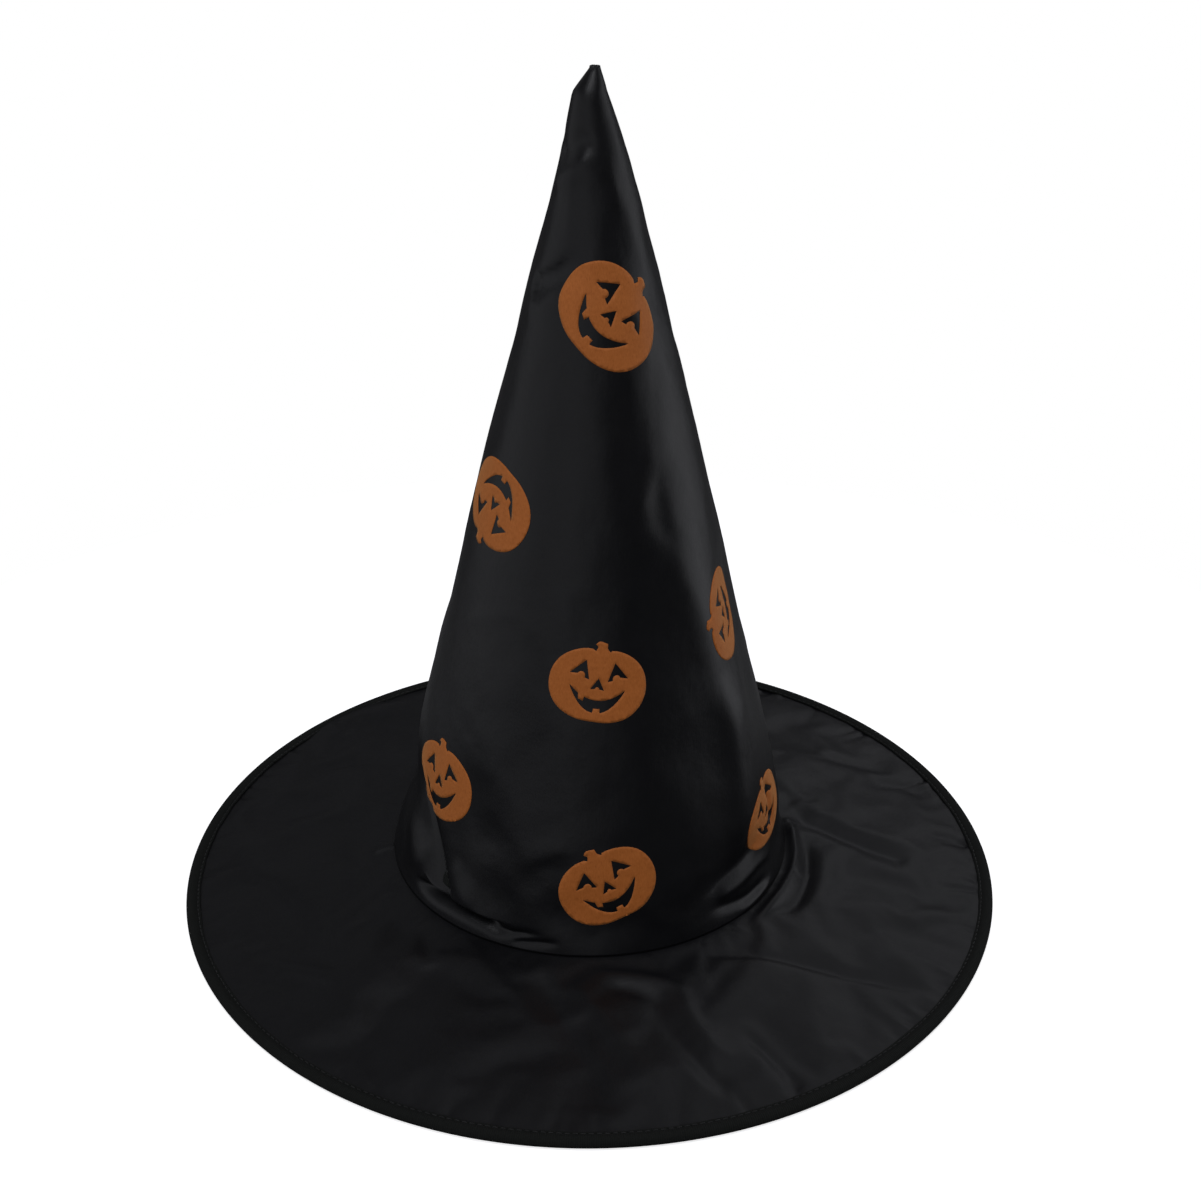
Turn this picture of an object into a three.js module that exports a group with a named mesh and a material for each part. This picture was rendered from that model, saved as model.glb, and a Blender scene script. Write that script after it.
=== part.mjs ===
// Fancy-dress witch's hat: a tall satin cone on a round two-ply brim that a sprung wire hoop keeps flat.
// Units are millimetres and +Z is up. The origin lies on the hat's axis, in the surface that the brim stands on,
// and the front of the hat faces -Y. Azimuths are in degrees, from +X towards +Y, so the back seam is at 90.

import * as THREE from 'three';
import { mergeVertices } from 'three/addons/utils/BufferGeometryUtils.js';

// Driving dimensions
const brimRadius = 190; // to the outside of the binding
const hatHeight = 369; // from the surface below the brim to the tip
const headRadius = 93.5; // outside of the crown where it meets the brim
const crownFootHeight = 15; // lower edge of the crown
const tipRadius = 4; // the cone's blunt tip
const crownBulge = 2.3; // how far the cone's side swells beyond a straight line
const clothThickness = 0.5;
const interliningThickness = 0.8;
const headTapeThickness = 0.9;
const headTapeHeight = 27;
const hoopWireRadius = 0.8;
const ferruleWall = 0.3;
const ferruleLength = 10;
const hoopEndGap = 1; // between the wire's two ends, inside the ferrule
const bindingTapeThickness = 0.6;
const bindingWidth = 6.5;
const bindingStitchInset = 1.1; // from the binding's inner edge to its stitches
const threadRadius = 0.2;
const seamAllowanceWidth = 9;
const seamAllowanceThickness = 1.2;
const seamAllowanceTop = 300;
const labelWidth = 24;
const labelHeight = 24;
const labelThickness = 0.4;
const printThickness = 0.25;
const clearance = 0.3; // between two pieces that touch

// Facets round the axis
const crownSegments = 36;
const rimSegments = 60;
const degree = Math.PI / 180;

// Where each print's centre lies on the crown, how far its stem leans clockwise, and its width
const prints = [
  { azimuth: -78, height: 278, lean: 52, width: 46 },
  { azimuth: -146, height: 198, lean: -160, width: 44 },
  { azimuth: -26, height: 147, lean: -80, width: 40 },
  { azimuth: -88, height: 133, lean: 8, width: 41 },
  { azimuth: -147, height: 72, lean: -5, width: 44 },
  { azimuth: -24, height: 51, lean: -8, width: 41 },
  { azimuth: -85, height: 46, lean: -24, width: 43 },
  { azimuth: 128, height: 248, lean: -30, width: 43 },
  { azimuth: 42, height: 212, lean: 140, width: 43 },
  { azimuth: 152, height: 150, lean: 75, width: 43 },
  { azimuth: 64, height: 132, lean: -15, width: 43 },
  { azimuth: 22, height: 86, lean: 165, width: 43 },
  { azimuth: 117, height: 66, lean: 20, width: 43 },
  { azimuth: 156, height: 42, lean: -60, width: 43 },
];

const satin = new THREE.MeshStandardMaterial({ color: 0x1d1d21, roughness: 0.45, metalness: 0 });
const interlining = new THREE.MeshStandardMaterial({ color: 0x2a2a2a, roughness: 0.95, metalness: 0 });
const wovenTape = new THREE.MeshStandardMaterial({ color: 0x191b19, roughness: 0.85, metalness: 0 });
const thread = new THREE.MeshStandardMaterial({ color: 0x101010, roughness: 0.6, metalness: 0 });
const springSteel = new THREE.MeshStandardMaterial({ color: 0x9a9ca0, roughness: 0.35, metalness: 1 });
const labelSatin = new THREE.MeshStandardMaterial({ color: 0xe6e4de, roughness: 0.5, metalness: 0 });
const printInk = new THREE.MeshStandardMaterial({ color: 0xb0662c, roughness: 0.6, metalness: 0 });

// ---- Shared shapes ----

// Outer radius of the crown cloth at a height.
function crownRadius(height) {
  const rise = THREE.MathUtils.clamp((height - crownFootHeight) / (hatHeight - crownFootHeight), 0, 1);
  return THREE.MathUtils.lerp(headRadius, tipRadius, rise) + crownBulge * Math.sin(Math.PI * rise);
}

// Heights spaced evenly from low to high, both included.
function levels(low, high, count) {
  return Array.from({ length: count + 1 }, (_, i) => THREE.MathUtils.lerp(low, high, i / count));
}

// A solid turned about +Z from [radius, height] points that run anticlockwise round its section.
function turned(outline, segments) {
  const points = outline.map(([radius, height]) => new THREE.Vector2(radius, height));
  return new THREE.LatheGeometry(points, segments).rotateX(Math.PI / 2);
}

function turnedRing(outline, segments) {
  return turned([...outline, outline[0]], segments);
}

// A conical wall that follows the crown from low to high, a depth inside its outer face.
function crownWall(low, high, depth, thickness, count) {
  const outer = levels(low, high, count).map((height) => [crownRadius(height) - depth, height]);
  const inner = outer.map(([radius, height]) => [radius - thickness, height]).reverse();
  return turnedRing([...outer, ...inner], crownSegments);
}

// Points along an arc from one angle to another, as [radius, height] about a centre.
function arc(centreRadius, centreHeight, radius, from, to, steps) {
  return levels(from, to, steps).map((angle) => [
    centreRadius + radius * Math.cos(angle * degree),
    centreHeight + radius * Math.sin(angle * degree),
  ]);
}

// A ring of thread: a turned ring with a small diamond section.
function threadRing(radius, height, segments) {
  return turnedRing(arc(radius, height, threadRadius, 0, 270, 3), segments);
}

// A round rod along a curve.
function rod(curve, radius, sides, steps) {
  const section = new THREE.Shape(
    levels(0, 2 * Math.PI * (1 - 1 / sides), sides - 1).map(
      (angle) => new THREE.Vector2(radius * Math.cos(angle), radius * Math.sin(angle)),
    ),
  );
  return new THREE.ExtrudeGeometry(section, { extrudePath: curve, steps, bevelEnabled: false });
}

// A level arc round the hat's axis.
class AxisArc extends THREE.Curve {
  constructor(radius, height, from, to) {
    super();
    Object.assign(this, { radius, height, from, to });
  }

  getPoint(t, target = new THREE.Vector3()) {
    const angle = THREE.MathUtils.lerp(this.from, this.to, t) * degree;
    return target.set(this.radius * Math.cos(angle), this.radius * Math.sin(angle), this.height);
  }
}

function piece(name, geometry, material) {
  const mesh = new THREE.Mesh(geometry, material);
  mesh.name = name;
  return mesh;
}

function assembly(...members) {
  return new THREE.Group().add(...members);
}

// ---- Depths below the crown's outer face, from the outside in ----

const interliningDepth = clothThickness + clearance;
const interliningInnerDepth = interliningDepth + interliningThickness;
const headTapeDepth = interliningInnerDepth + clearance;
const headTapeInnerDepth = headTapeDepth + headTapeThickness;

// ---- Rim: the binding's tape folds round the hoop and clamps the two brim cloths ----

const ferruleBore = hoopWireRadius + clearance;
const hoopRoom = ferruleBore + ferruleWall + clearance; // radius of the space that the tape leaves
const rimThickness = 2 * (hoopRoom + bindingTapeThickness);
const hoopHeight = rimThickness / 2;
const foldRadius = brimRadius - bindingTapeThickness - hoopRoom; // centre of the tape's fold
const hoopRadius = foldRadius * Math.cos(Math.PI / rimSegments); // inside every facet of the fold
const bindingInnerRadius = brimRadius - bindingWidth;
const clothEdgeRadius = foldRadius - hoopRoom - clearance;
const clampHalf = clothThickness + 1.5 * clearance; // two cloths, a gap between them and one on each side

// ---- Brim: two cloths that rise from the hoop to the crown's foot ----

const brimFootHeight = crownFootHeight - 1.5 * clearance - clothThickness; // between the cloths
const brimHoleRadius = headRadius - interliningInnerDepth;
const slopeEndRadius = bindingInnerRadius - 2 * clearance;

// Height of the middle of the gap between the two cloths.
function brimHeight(radius) {
  const rise = THREE.MathUtils.clamp((slopeEndRadius - radius) / (slopeEndRadius - headRadius), 0, 1);
  return THREE.MathUtils.lerp(hoopHeight, brimFootHeight, rise);
}

// One brim cloth; offset is the height of its lower face above the middle of the gap.
function brimCloth(offset) {
  const radii = [brimHoleRadius, headRadius, ...levels(headRadius, slopeEndRadius, 2).slice(1), clothEdgeRadius];
  const lower = radii.map((radius) => [radius, brimHeight(radius) + offset]);
  const upper = lower.map(([radius, height]) => [radius, height + clothThickness]).reverse();
  return turnedRing([...lower, ...upper], crownSegments);
}

function brimBinding() {
  const stepRadius = bindingInnerRadius + bindingStitchInset + threadRadius + clearance;
  const outerHalf = clampHalf + bindingTapeThickness;
  return turnedRing(
    [
      [bindingInnerRadius, hoopHeight - outerHalf],
      [stepRadius, hoopHeight - outerHalf],
      [stepRadius + hoopHeight - outerHalf, 0],
      ...arc(foldRadius, hoopHeight, hoopHeight, -90, 90, 4),
      [bindingInnerRadius, hoopHeight + outerHalf],
      [bindingInnerRadius, hoopHeight + clampHalf],
      ...arc(foldRadius, hoopHeight, hoopRoom, 90, -90, 4),
      [bindingInnerRadius, hoopHeight - clampHalf],
    ],
    rimSegments,
  );
}

// A row of binding thread lies on one leg of the tape: side is 1 for the upper leg and -1 for the lower one.
function bindingThread(side) {
  const lift = clampHalf + bindingTapeThickness + clearance + threadRadius;
  // The lower leg is level under its stitches, and the upper one climbs from its edge to the fold.
  const climb = (hoopHeight - clampHalf - bindingTapeThickness) / (foldRadius - bindingInnerRadius);
  const legRise = side > 0 ? climb * bindingStitchInset : 0;
  return threadRing(bindingInnerRadius + bindingStitchInset, hoopHeight + side * (lift + legRise), rimSegments);
}

function hoopWire() {
  const halfGap = hoopEndGap / 2 / hoopRadius / degree;
  return rod(new AxisArc(hoopRadius, hoopHeight, 90 + halfGap, 450 - halfGap), hoopWireRadius, 6, 90);
}

// A short straight sleeve over the wire's two ends, at the back.
function hoopFerrule() {
  const half = ferruleLength / 2;
  const outer = ferruleBore + ferruleWall;
  const sleeve = turnedRing([[ferruleBore, -half], [outer, -half], [outer, half], [ferruleBore, half]], 12);
  return sleeve.rotateY(Math.PI / 2).translate(0, hoopRadius, hoopHeight);
}

const brim = assembly(
  piece('brim_top_cloth', brimCloth(clearance / 2), satin),
  piece('brim_under_cloth', brimCloth(-clearance / 2 - clothThickness), satin),
  piece('brim_binding', brimBinding(), wovenTape),
  piece('binding_needle_thread', bindingThread(1), thread),
  piece('binding_bobbin_thread', bindingThread(-1), thread),
  piece('hoop_wire', hoopWire(), springSteel),
  piece('hoop_ferrule', hoopFerrule(), springSteel),
);

// ---- Crown: the cloth cone, its interlining and the back seam ----

function crownCloth() {
  const outer = levels(crownFootHeight, hatHeight - tipRadius / 4, 6).map((height) => [crownRadius(height), height]);
  const inner = outer.map(([radius, height]) => [radius - clothThickness, height]).reverse();
  inner[0][1] -= clothThickness;
  return turned([[0, inner[0][1]], ...inner, ...outer, [0, hatHeight]], crownSegments);
}

// The interlining stops below the tip, where the cone is too narrow for it.
function crownInterlining() {
  const top = hatHeight - 4 * tipRadius;
  return crownWall(crownFootHeight, top, interliningDepth, interliningThickness, 5);
}

const headTapeBottom = brimFootHeight - clearance / 2 - 2 * clothThickness;
const headTapeTop = headTapeBottom + headTapeHeight;

// How far the back seam's turned-in edges lie inside the interlining: a flat strip on a round wall.
const allowanceDepth = interliningInnerDepth + 3 * clearance;

function crownSeamAllowance() {
  const heights = levels(headTapeTop + clearance, seamAllowanceTop, 6);
  const face = heights.map((height) => new THREE.Vector2(crownRadius(height) - allowanceDepth, height));
  const back = face.map((point) => new THREE.Vector2(point.x - seamAllowanceThickness, point.y)).reverse();
  const strip = new THREE.ExtrudeGeometry(new THREE.Shape([...face, ...back]), {
    depth: seamAllowanceWidth,
    bevelEnabled: false,
  });
  strip.translate(0, 0, -seamAllowanceWidth / 2);
  // The section is drawn in (Y, Z) and its depth runs along X.
  const toBack = new THREE.Matrix4().makeBasis(
    new THREE.Vector3(0, 1, 0),
    new THREE.Vector3(0, 0, 1),
    new THREE.Vector3(1, 0, 0),
  );
  return strip.applyMatrix4(toBack);
}

// Overlock thread: a zigzag along the free face of the seam allowance.
function seamOverlock() {
  const turns = levels(headTapeTop + 2, seamAllowanceTop - 2, 36);
  const depth = allowanceDepth + seamAllowanceThickness + clearance + threadRadius;
  const reach = seamAllowanceWidth / 2 - 1;
  const corners = turns.map(
    (height, i) => new THREE.Vector3(i % 2 ? reach : -reach, crownRadius(height) - depth, height),
  );
  const path = new THREE.CurvePath();
  corners.slice(1).forEach((corner, i) => path.add(new THREE.LineCurve3(corners[i], corner)));
  return rod(path, threadRadius, 4, corners.length - 1);
}

// ---- Prints: a pumpkin with a cut-out face, wrapped on the cone without stretching ----

// A pumpkin outline of width 1 with a stem, and holes for the eyes, nose and mouth.
function pumpkinShape() {
  const halfHeight = 0.39;
  const stemGap = 20;
  const body = levels(90 + stemGap, 450 - stemGap, 14).map((angle) => {
    const x = Math.cos(angle * degree) / 2;
    const dip = 1 - 0.08 * Math.exp(-((x / 0.1) ** 2));
    return [x, halfHeight * dip * Math.sin(angle * degree)];
  });
  const stem = [[0.05, 0.345], [0.04, 0.43], [-0.05, 0.41], [-0.045, 0.345]];
  const eye = [[0.095, 0.055], [0.3, 0.1], [0.145, 0.25]];
  const nose = [[-0.07, -0.047], [0.07, -0.047], [0, 0.076]];
  const smile = arc(0, 0.06, 0.34, -165, -15, 6);
  const upperLip = arc(0, 0.28, 0.44, -48, -132, 4);
  const mirrored = eye.map(([x, y]) => [-x, y]).reverse();
  const shape = new THREE.Shape([...body, ...stem].map(([x, y]) => new THREE.Vector2(x, y)));
  for (const hole of [eye, mirrored, nose, [...smile, ...upperLip]])
    shape.holes.push(new THREE.Path(hole.map(([x, y]) => new THREE.Vector2(x, y))));
  return shape;
}

// Cuts convex polygons along a line; side(point) is positive on one side of it and negative on the other.
function cutPolygons(polygons, side) {
  const cut = [];
  for (const polygon of polygons) {
    const front = [];
    const back = [];
    polygon.forEach((point, i) => {
      const next = polygon[(i + 1) % polygon.length];
      const here = side(point);
      const there = side(next);
      if (here >= 0) front.push(point);
      if (here <= 0) back.push(point);
      if (here * there < 0) {
        const crossing = point.clone().lerp(next, here / (here - there));
        front.push(crossing);
        back.push(crossing);
      }
    });
    cut.push(...[front, back].filter((part) => part.length > 2));
  }
  return cut;
}

function printFilm({ azimuth, height, lean, width }) {
  const slope = Math.atan((headRadius - tipRadius) / (hatHeight - crownFootHeight));
  const apexDistance = crownRadius(height) / Math.sin(slope);
  const facet = 360 / crownSegments;
  const flat = new THREE.ShapeGeometry(pumpkinShape()).rotateZ(-lean * degree).scale(width, width, 1);
  const corners = Array.from(
    { length: flat.attributes.position.count },
    (_, i) => new THREE.Vector2(flat.attributes.position.getX(i), flat.attributes.position.getY(i)),
  );
  let polygons = [];
  for (let i = 0; i < flat.index.count; i += 3)
    polygons.push([0, 1, 2].map((corner) => corners[flat.index.getX(i + corner)]));

  // On the flat cloth a facet edge of the crown is a line through the cone's apex.
  const azimuthOf = (point) => azimuth + Math.atan2(point.x, apexDistance - point.y) / Math.sin(slope) / degree;
  const spread = corners.map(azimuthOf);
  const first = Math.ceil(Math.min(...spread) / facet);
  const last = Math.floor(Math.max(...spread) / facet);
  for (let edge = first; edge <= last; edge += 1) {
    const angle = (edge * facet - azimuth) * degree * Math.sin(slope);
    polygons = cutPolygons(
      polygons,
      (point) => point.x * Math.cos(angle) - (apexDistance - point.y) * Math.sin(angle),
    );
  }

  // A point of one polygon on the crown's facet, a distance outside it.
  const wrap = (point, facetCentre, outside) => {
    const turn = azimuthOf(point);
    const along = apexDistance - Math.hypot(point.x, apexDistance - point.y);
    const level = height + along * Math.cos(slope);
    const flatten = Math.cos((facet / 2) * degree) / Math.cos((turn - facetCentre) * degree);
    const radius = (crownRadius(level) + outside) * flatten;
    return [radius * Math.cos(turn * degree), radius * Math.sin(turn * degree), level];
  };
  const layer = (outside) =>
    polygons.flatMap((polygon) => {
      const middle = polygon.reduce((sum, point) => sum + azimuthOf(point), 0) / polygon.length;
      const facetCentre = (Math.floor(middle / facet) + 0.5) * facet;
      const fan = polygon.slice(2).map((point, i) => [polygon[0], polygon[i + 1], point]);
      return fan.flat().flatMap((point) => wrap(point, facetCentre, outside));
    });
  return thickened(layer(clearance), layer(clearance + printThickness));
}

// A closed film between two matching triangle soups, given as flat lists of coordinates.
function thickened(innerCoordinates, outerCoordinates) {
  const both = new THREE.BufferGeometry();
  both.setAttribute('position', new THREE.Float32BufferAttribute([...innerCoordinates, ...outerCoordinates], 3));
  const welded = mergeVertices(both, 1e-3);
  const corner = Array.from(welded.index.array);
  const half = corner.length / 2;
  const edges = new Map();
  const faces = [];
  for (let i = 0; i < half; i += 3) {
    const inner = corner.slice(i, i + 3);
    const outer = corner.slice(half + i, half + i + 3);
    if (new Set(inner).size < 3) continue;
    faces.push([...outer], [...inner].reverse());
    inner.forEach((from, k) => edges.set(`${from},${inner[(k + 1) % 3]}`, [outer[k], outer[(k + 1) % 3]]));
  }
  for (const [edge, [outerFrom, outerTo]] of edges) {
    const [from, to] = edge.split(',').map(Number);
    if (edges.has(`${to},${from}`)) continue;
    faces.push([from, to, outerTo], [from, outerTo, outerFrom]);
  }
  welded.setIndex(faces.flat());
  return welded;
}

const crown = assembly(
  piece('crown_cloth', crownCloth(), satin),
  piece('crown_interlining', crownInterlining(), interlining),
  piece('crown_seam_allowance', crownSeamAllowance(), satin),
  piece('crown_seam_overlock', seamOverlock(), thread),
  ...prints.map((print, i) => piece(`pumpkin_print_${i + 1}`, printFilm(print), printInk)),
);

// ---- Head tape: the inner band that covers the seam between crown and brim ----

function headTape() {
  return crownWall(headTapeBottom, headTapeTop, headTapeDepth, headTapeThickness, 3);
}

function headTapeThread(height) {
  const radius = crownRadius(height) - headTapeInnerDepth - clearance - threadRadius;
  return threadRing(radius, height, crownSegments);
}

// A blank label that hangs from the upper row of stitches, flat against the tape at the back.
const labelHingeHeight = headTapeTop - 3;

function careLabel() {
  const wallRadius = crownRadius(labelHingeHeight) - headTapeInnerDepth;
  const wall = Math.sqrt((wallRadius * Math.cos(Math.PI / crownSegments)) ** 2 - (labelWidth / 2) ** 2);
  const flap = new THREE.BoxGeometry(labelWidth, labelThickness, labelHeight);
  return flap.translate(0, wall - clearance - labelThickness / 2, labelHingeHeight - labelHeight / 2);
}

const lining = assembly(
  piece('head_tape', headTape(), wovenTape),
  piece('head_seam_thread', headTapeThread(crownFootHeight + 2), thread),
  piece('head_tape_upper_thread', headTapeThread(headTapeTop - 1.5), thread),
  piece('care_label', careLabel(), labelSatin),
);

export default assembly(brim, crown, lining);
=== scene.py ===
import math

import bpy
import numpy as np
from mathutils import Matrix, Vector
from mathutils.geometry import delaunay_2d_cdt


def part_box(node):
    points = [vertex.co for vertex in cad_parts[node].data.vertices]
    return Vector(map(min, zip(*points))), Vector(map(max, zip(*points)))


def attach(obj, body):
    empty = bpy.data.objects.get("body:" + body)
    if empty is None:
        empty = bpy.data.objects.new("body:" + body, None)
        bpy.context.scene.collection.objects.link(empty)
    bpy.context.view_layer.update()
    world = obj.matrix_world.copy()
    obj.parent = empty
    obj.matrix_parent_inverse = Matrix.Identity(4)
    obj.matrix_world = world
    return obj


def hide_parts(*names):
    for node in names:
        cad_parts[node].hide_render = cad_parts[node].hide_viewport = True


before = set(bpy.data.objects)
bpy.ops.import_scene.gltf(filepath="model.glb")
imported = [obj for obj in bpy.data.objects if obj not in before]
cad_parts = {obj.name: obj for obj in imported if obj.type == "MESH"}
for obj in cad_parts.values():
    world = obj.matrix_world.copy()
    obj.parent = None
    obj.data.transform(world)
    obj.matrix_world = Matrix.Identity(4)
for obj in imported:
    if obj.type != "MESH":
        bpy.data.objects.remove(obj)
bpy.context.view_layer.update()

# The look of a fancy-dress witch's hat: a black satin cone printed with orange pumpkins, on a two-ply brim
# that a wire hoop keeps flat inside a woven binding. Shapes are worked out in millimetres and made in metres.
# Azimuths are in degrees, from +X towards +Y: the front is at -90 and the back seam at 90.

METRE = 0.001  # one millimetre
FRONT, BACK = -90.0, 90.0


def box_mm(node):
    low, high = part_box(node)
    return np.array(low) / METRE, np.array(high) / METRE


# ---- Sizes, from the frame ----

HEAD_RADIUS = box_mm("crown_cloth")[1][0]
FOOT, TIP = box_mm("crown_cloth")[0][2], box_mm("crown_cloth")[1][2]
BRIM_RADIUS = box_mm("brim_binding")[1][0]
BINDING_TOP = box_mm("brim_binding")[1][2]
CLOTH_EDGE = box_mm("brim_top_cloth")[1][0]
STITCH_RADIUS = box_mm("binding_needle_thread")[1][0] - 0.2
INTERLINING_TOP = box_mm("crown_interlining")[1][2]
TAPE_LOW, TAPE_HIGH = box_mm("head_tape")[0][2], box_mm("head_tape")[1][2]
ALLOWANCE_HALF = box_mm("crown_seam_allowance")[1][0]
ALLOWANCE_LOW, ALLOWANCE_HIGH = (corner[2] for corner in box_mm("crown_seam_allowance"))

TIP_RADIUS = 4.0
CROWN_BULGE = 2.3
CLOTH, BRIM_CLOTH = 0.45, 0.36  # thickness of the crown's cloth and of each of the brim's
BRIM_INNER = HEAD_RADIUS - 1.6  # where the brim's cloths end, inside the crown seam
BRIM_FOOT_LEVEL = FOOT - 0.3  # top of the brim's cloth at the crown seam
RIM_LEVEL = 2.95  # top of the brim's cloth where it enters the binding
BINDING_INNER = BRIM_RADIUS - 6.5
SLOPE = math.atan((HEAD_RADIUS - TIP_RADIUS) / (TIP - FOOT))

# Each print: its centre on the crown (azimuth, height), how far its stem leans clockwise, and its width
PRINTS = [
    (-78, 278, 52, 46), (-146, 198, -160, 44), (-26, 147, -80, 40), (-88, 133, 8, 41), (-147, 72, -5, 44),
    (-24, 51, -8, 41), (-85, 46, -24, 43), (128, 248, -30, 43), (42, 212, 140, 43), (152, 150, 75, 43),
    (64, 132, -15, 43), (22, 86, 165, 43), (117, 66, 20, 43), (156, 42, -60, 43),
]


# ---- Numbers over a surface ----

def smooth(value):
    value = np.clip(value, 0.0, 1.0)
    return value * value * (3.0 - 2.0 * value)


def bell(value, centre, width):
    """1 at the centre, falling away smoothly on both sides of it."""
    return np.exp(-(((value - centre) / width) ** 2))


def all_round(columns):
    return np.arange(columns) * 360.0 / columns


def around(radius, azimuth, level):
    """Points (x, y, z) about the hat's axis."""
    turn = np.radians(azimuth)
    return np.stack(np.broadcast_arrays(radius * np.cos(turn), radius * np.sin(turn), level), axis=-1)


def unit(vectors):
    return vectors / np.linalg.norm(vectors, axis=1, keepdims=True)


class Noise:
    """Smooth random values from -1 to 1 over a plane, the same on every run."""

    SIZE = 256
    LAYER_SHIFT = (37.0, -53.0)

    def __init__(self, seed):
        self.values = np.random.default_rng(seed).uniform(-1.0, 1.0, (self.SIZE, self.SIZE))

    def __call__(self, x, y, scale):
        u, v = np.asarray(x) / scale, np.asarray(y) / scale
        column, row = np.floor(u).astype(int), np.floor(v).astype(int)
        fu, fv = smooth(u - column), smooth(v - row)

        def at(i, j):
            return self.values[(column + i) % self.SIZE, (row + j) % self.SIZE]

        near = at(0, 0) * (1 - fu) + at(1, 0) * fu
        far = at(0, 1) * (1 - fu) + at(1, 1) * fu
        return near * (1 - fv) + far * fv

    def layered(self, x, y, scale, layers=3, share=0.5):
        total = np.zeros(np.shape(x))
        right, up = self.LAYER_SHIFT
        for layer in range(layers):
            total += share**layer * self(x + right * layer, y + up * layer, scale / 2.0**layer)
        return total

    def creased(self, x, y, scale):
        """Sharp ridges, as high as 1, between soft hollows, as in crumpled cloth."""
        return 1.0 - np.abs(self(x, y, scale)) * 1.6


def through(points, steps):
    """A smooth line through the points, with steps stretches between each two."""
    points = np.asarray(points, float)
    if len(points) == 2:
        return points
    ends = np.vstack([2 * points[0] - points[1], points, 2 * points[-1] - points[-2]])
    line = []
    for a, b, c, d in zip(ends, ends[1:], ends[2:], ends[3:]):
        for t in np.arange(steps) / steps:
            line.append(0.5 * (2 * b + (c - a) * t + (2 * a - 5 * b + 4 * c - d) * t**2
                               + (3 * b - a - 3 * c + d) * t**3))
    return np.array([*line, points[-1]])


FOLD_STEPS = 6  # stretches of line between two points of a fold
FOLD_REACH = 3.2  # how many widths away from its line a fold has died out
FOLD_CREST = 0.12  # the share of its width over which a fold's crest is rounded


def fold(x, y, points, height, left, right, power=2.0, ends=(0.3, 0.3)):
    """A ridge (or, below zero, a valley) along a line. It fades over left and right on its two sides and over
    ends, a share of its length, at its two ends. A power of 2 is round, and 1 is a sharp crease."""
    line = through(points, FOLD_STEPS)
    reach = FOLD_REACH * max(left, right)
    low, high = line.min(axis=0) - reach, line.max(axis=0) + reach
    near = (x > low[0]) & (x < high[0]) & (y > low[1]) & (y < high[1])
    result = np.zeros(np.shape(x))
    if not near.any():
        return result
    px, py = x[near], y[near]
    best = np.full(px.shape, np.inf)
    side = np.zeros(px.shape)
    share = np.zeros(px.shape)
    lengths = np.hypot(*(line[1:] - line[:-1]).T)
    walked = np.concatenate([[0.0], np.cumsum(lengths)])
    for start, end, length, before in zip(line, line[1:], lengths, walked):
        along = ((px - start[0]) * (end[0] - start[0]) + (py - start[1]) * (end[1] - start[1])) / length**2
        along = np.clip(along, 0.0, 1.0)
        dx = px - start[0] - along * (end[0] - start[0])
        dy = py - start[1] - along * (end[1] - start[1])
        gap = np.hypot(dx, dy)
        closer = gap < best
        best = np.where(closer, gap, best)
        turn = (end[0] - start[0]) * dy - (end[1] - start[1]) * dx
        side = np.where(closer, turn, side)
        share = np.where(closer, (before + along * length) / walked[-1], share)
    width = np.where(side > 0, left, right)
    shape = np.exp(-((np.sqrt(best**2 + (FOLD_CREST * width) ** 2) / width) ** power))
    shape = shape * smooth(share / ends[0]) * smooth((1 - share) / ends[1])
    result[near] = height * shape
    return result


# ---- The crown's surface ----

# How far the crown's axis stands to the right of the brim's centre, at each height
AXIS_HEIGHTS = (FOOT, 60.0, 110.0, 200.0, 310.0, 342.0, 359.0, TIP)
AXIS_SHIFTS = (0.0, 1.0, 1.4, 2.3, 3.0, 2.5, 1.0, 3.2)
TIP_GATHER, TIP_DRAWN = 11.0, 0.6  # the height over which the tip's cloth is drawn in, and by what share

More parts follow.
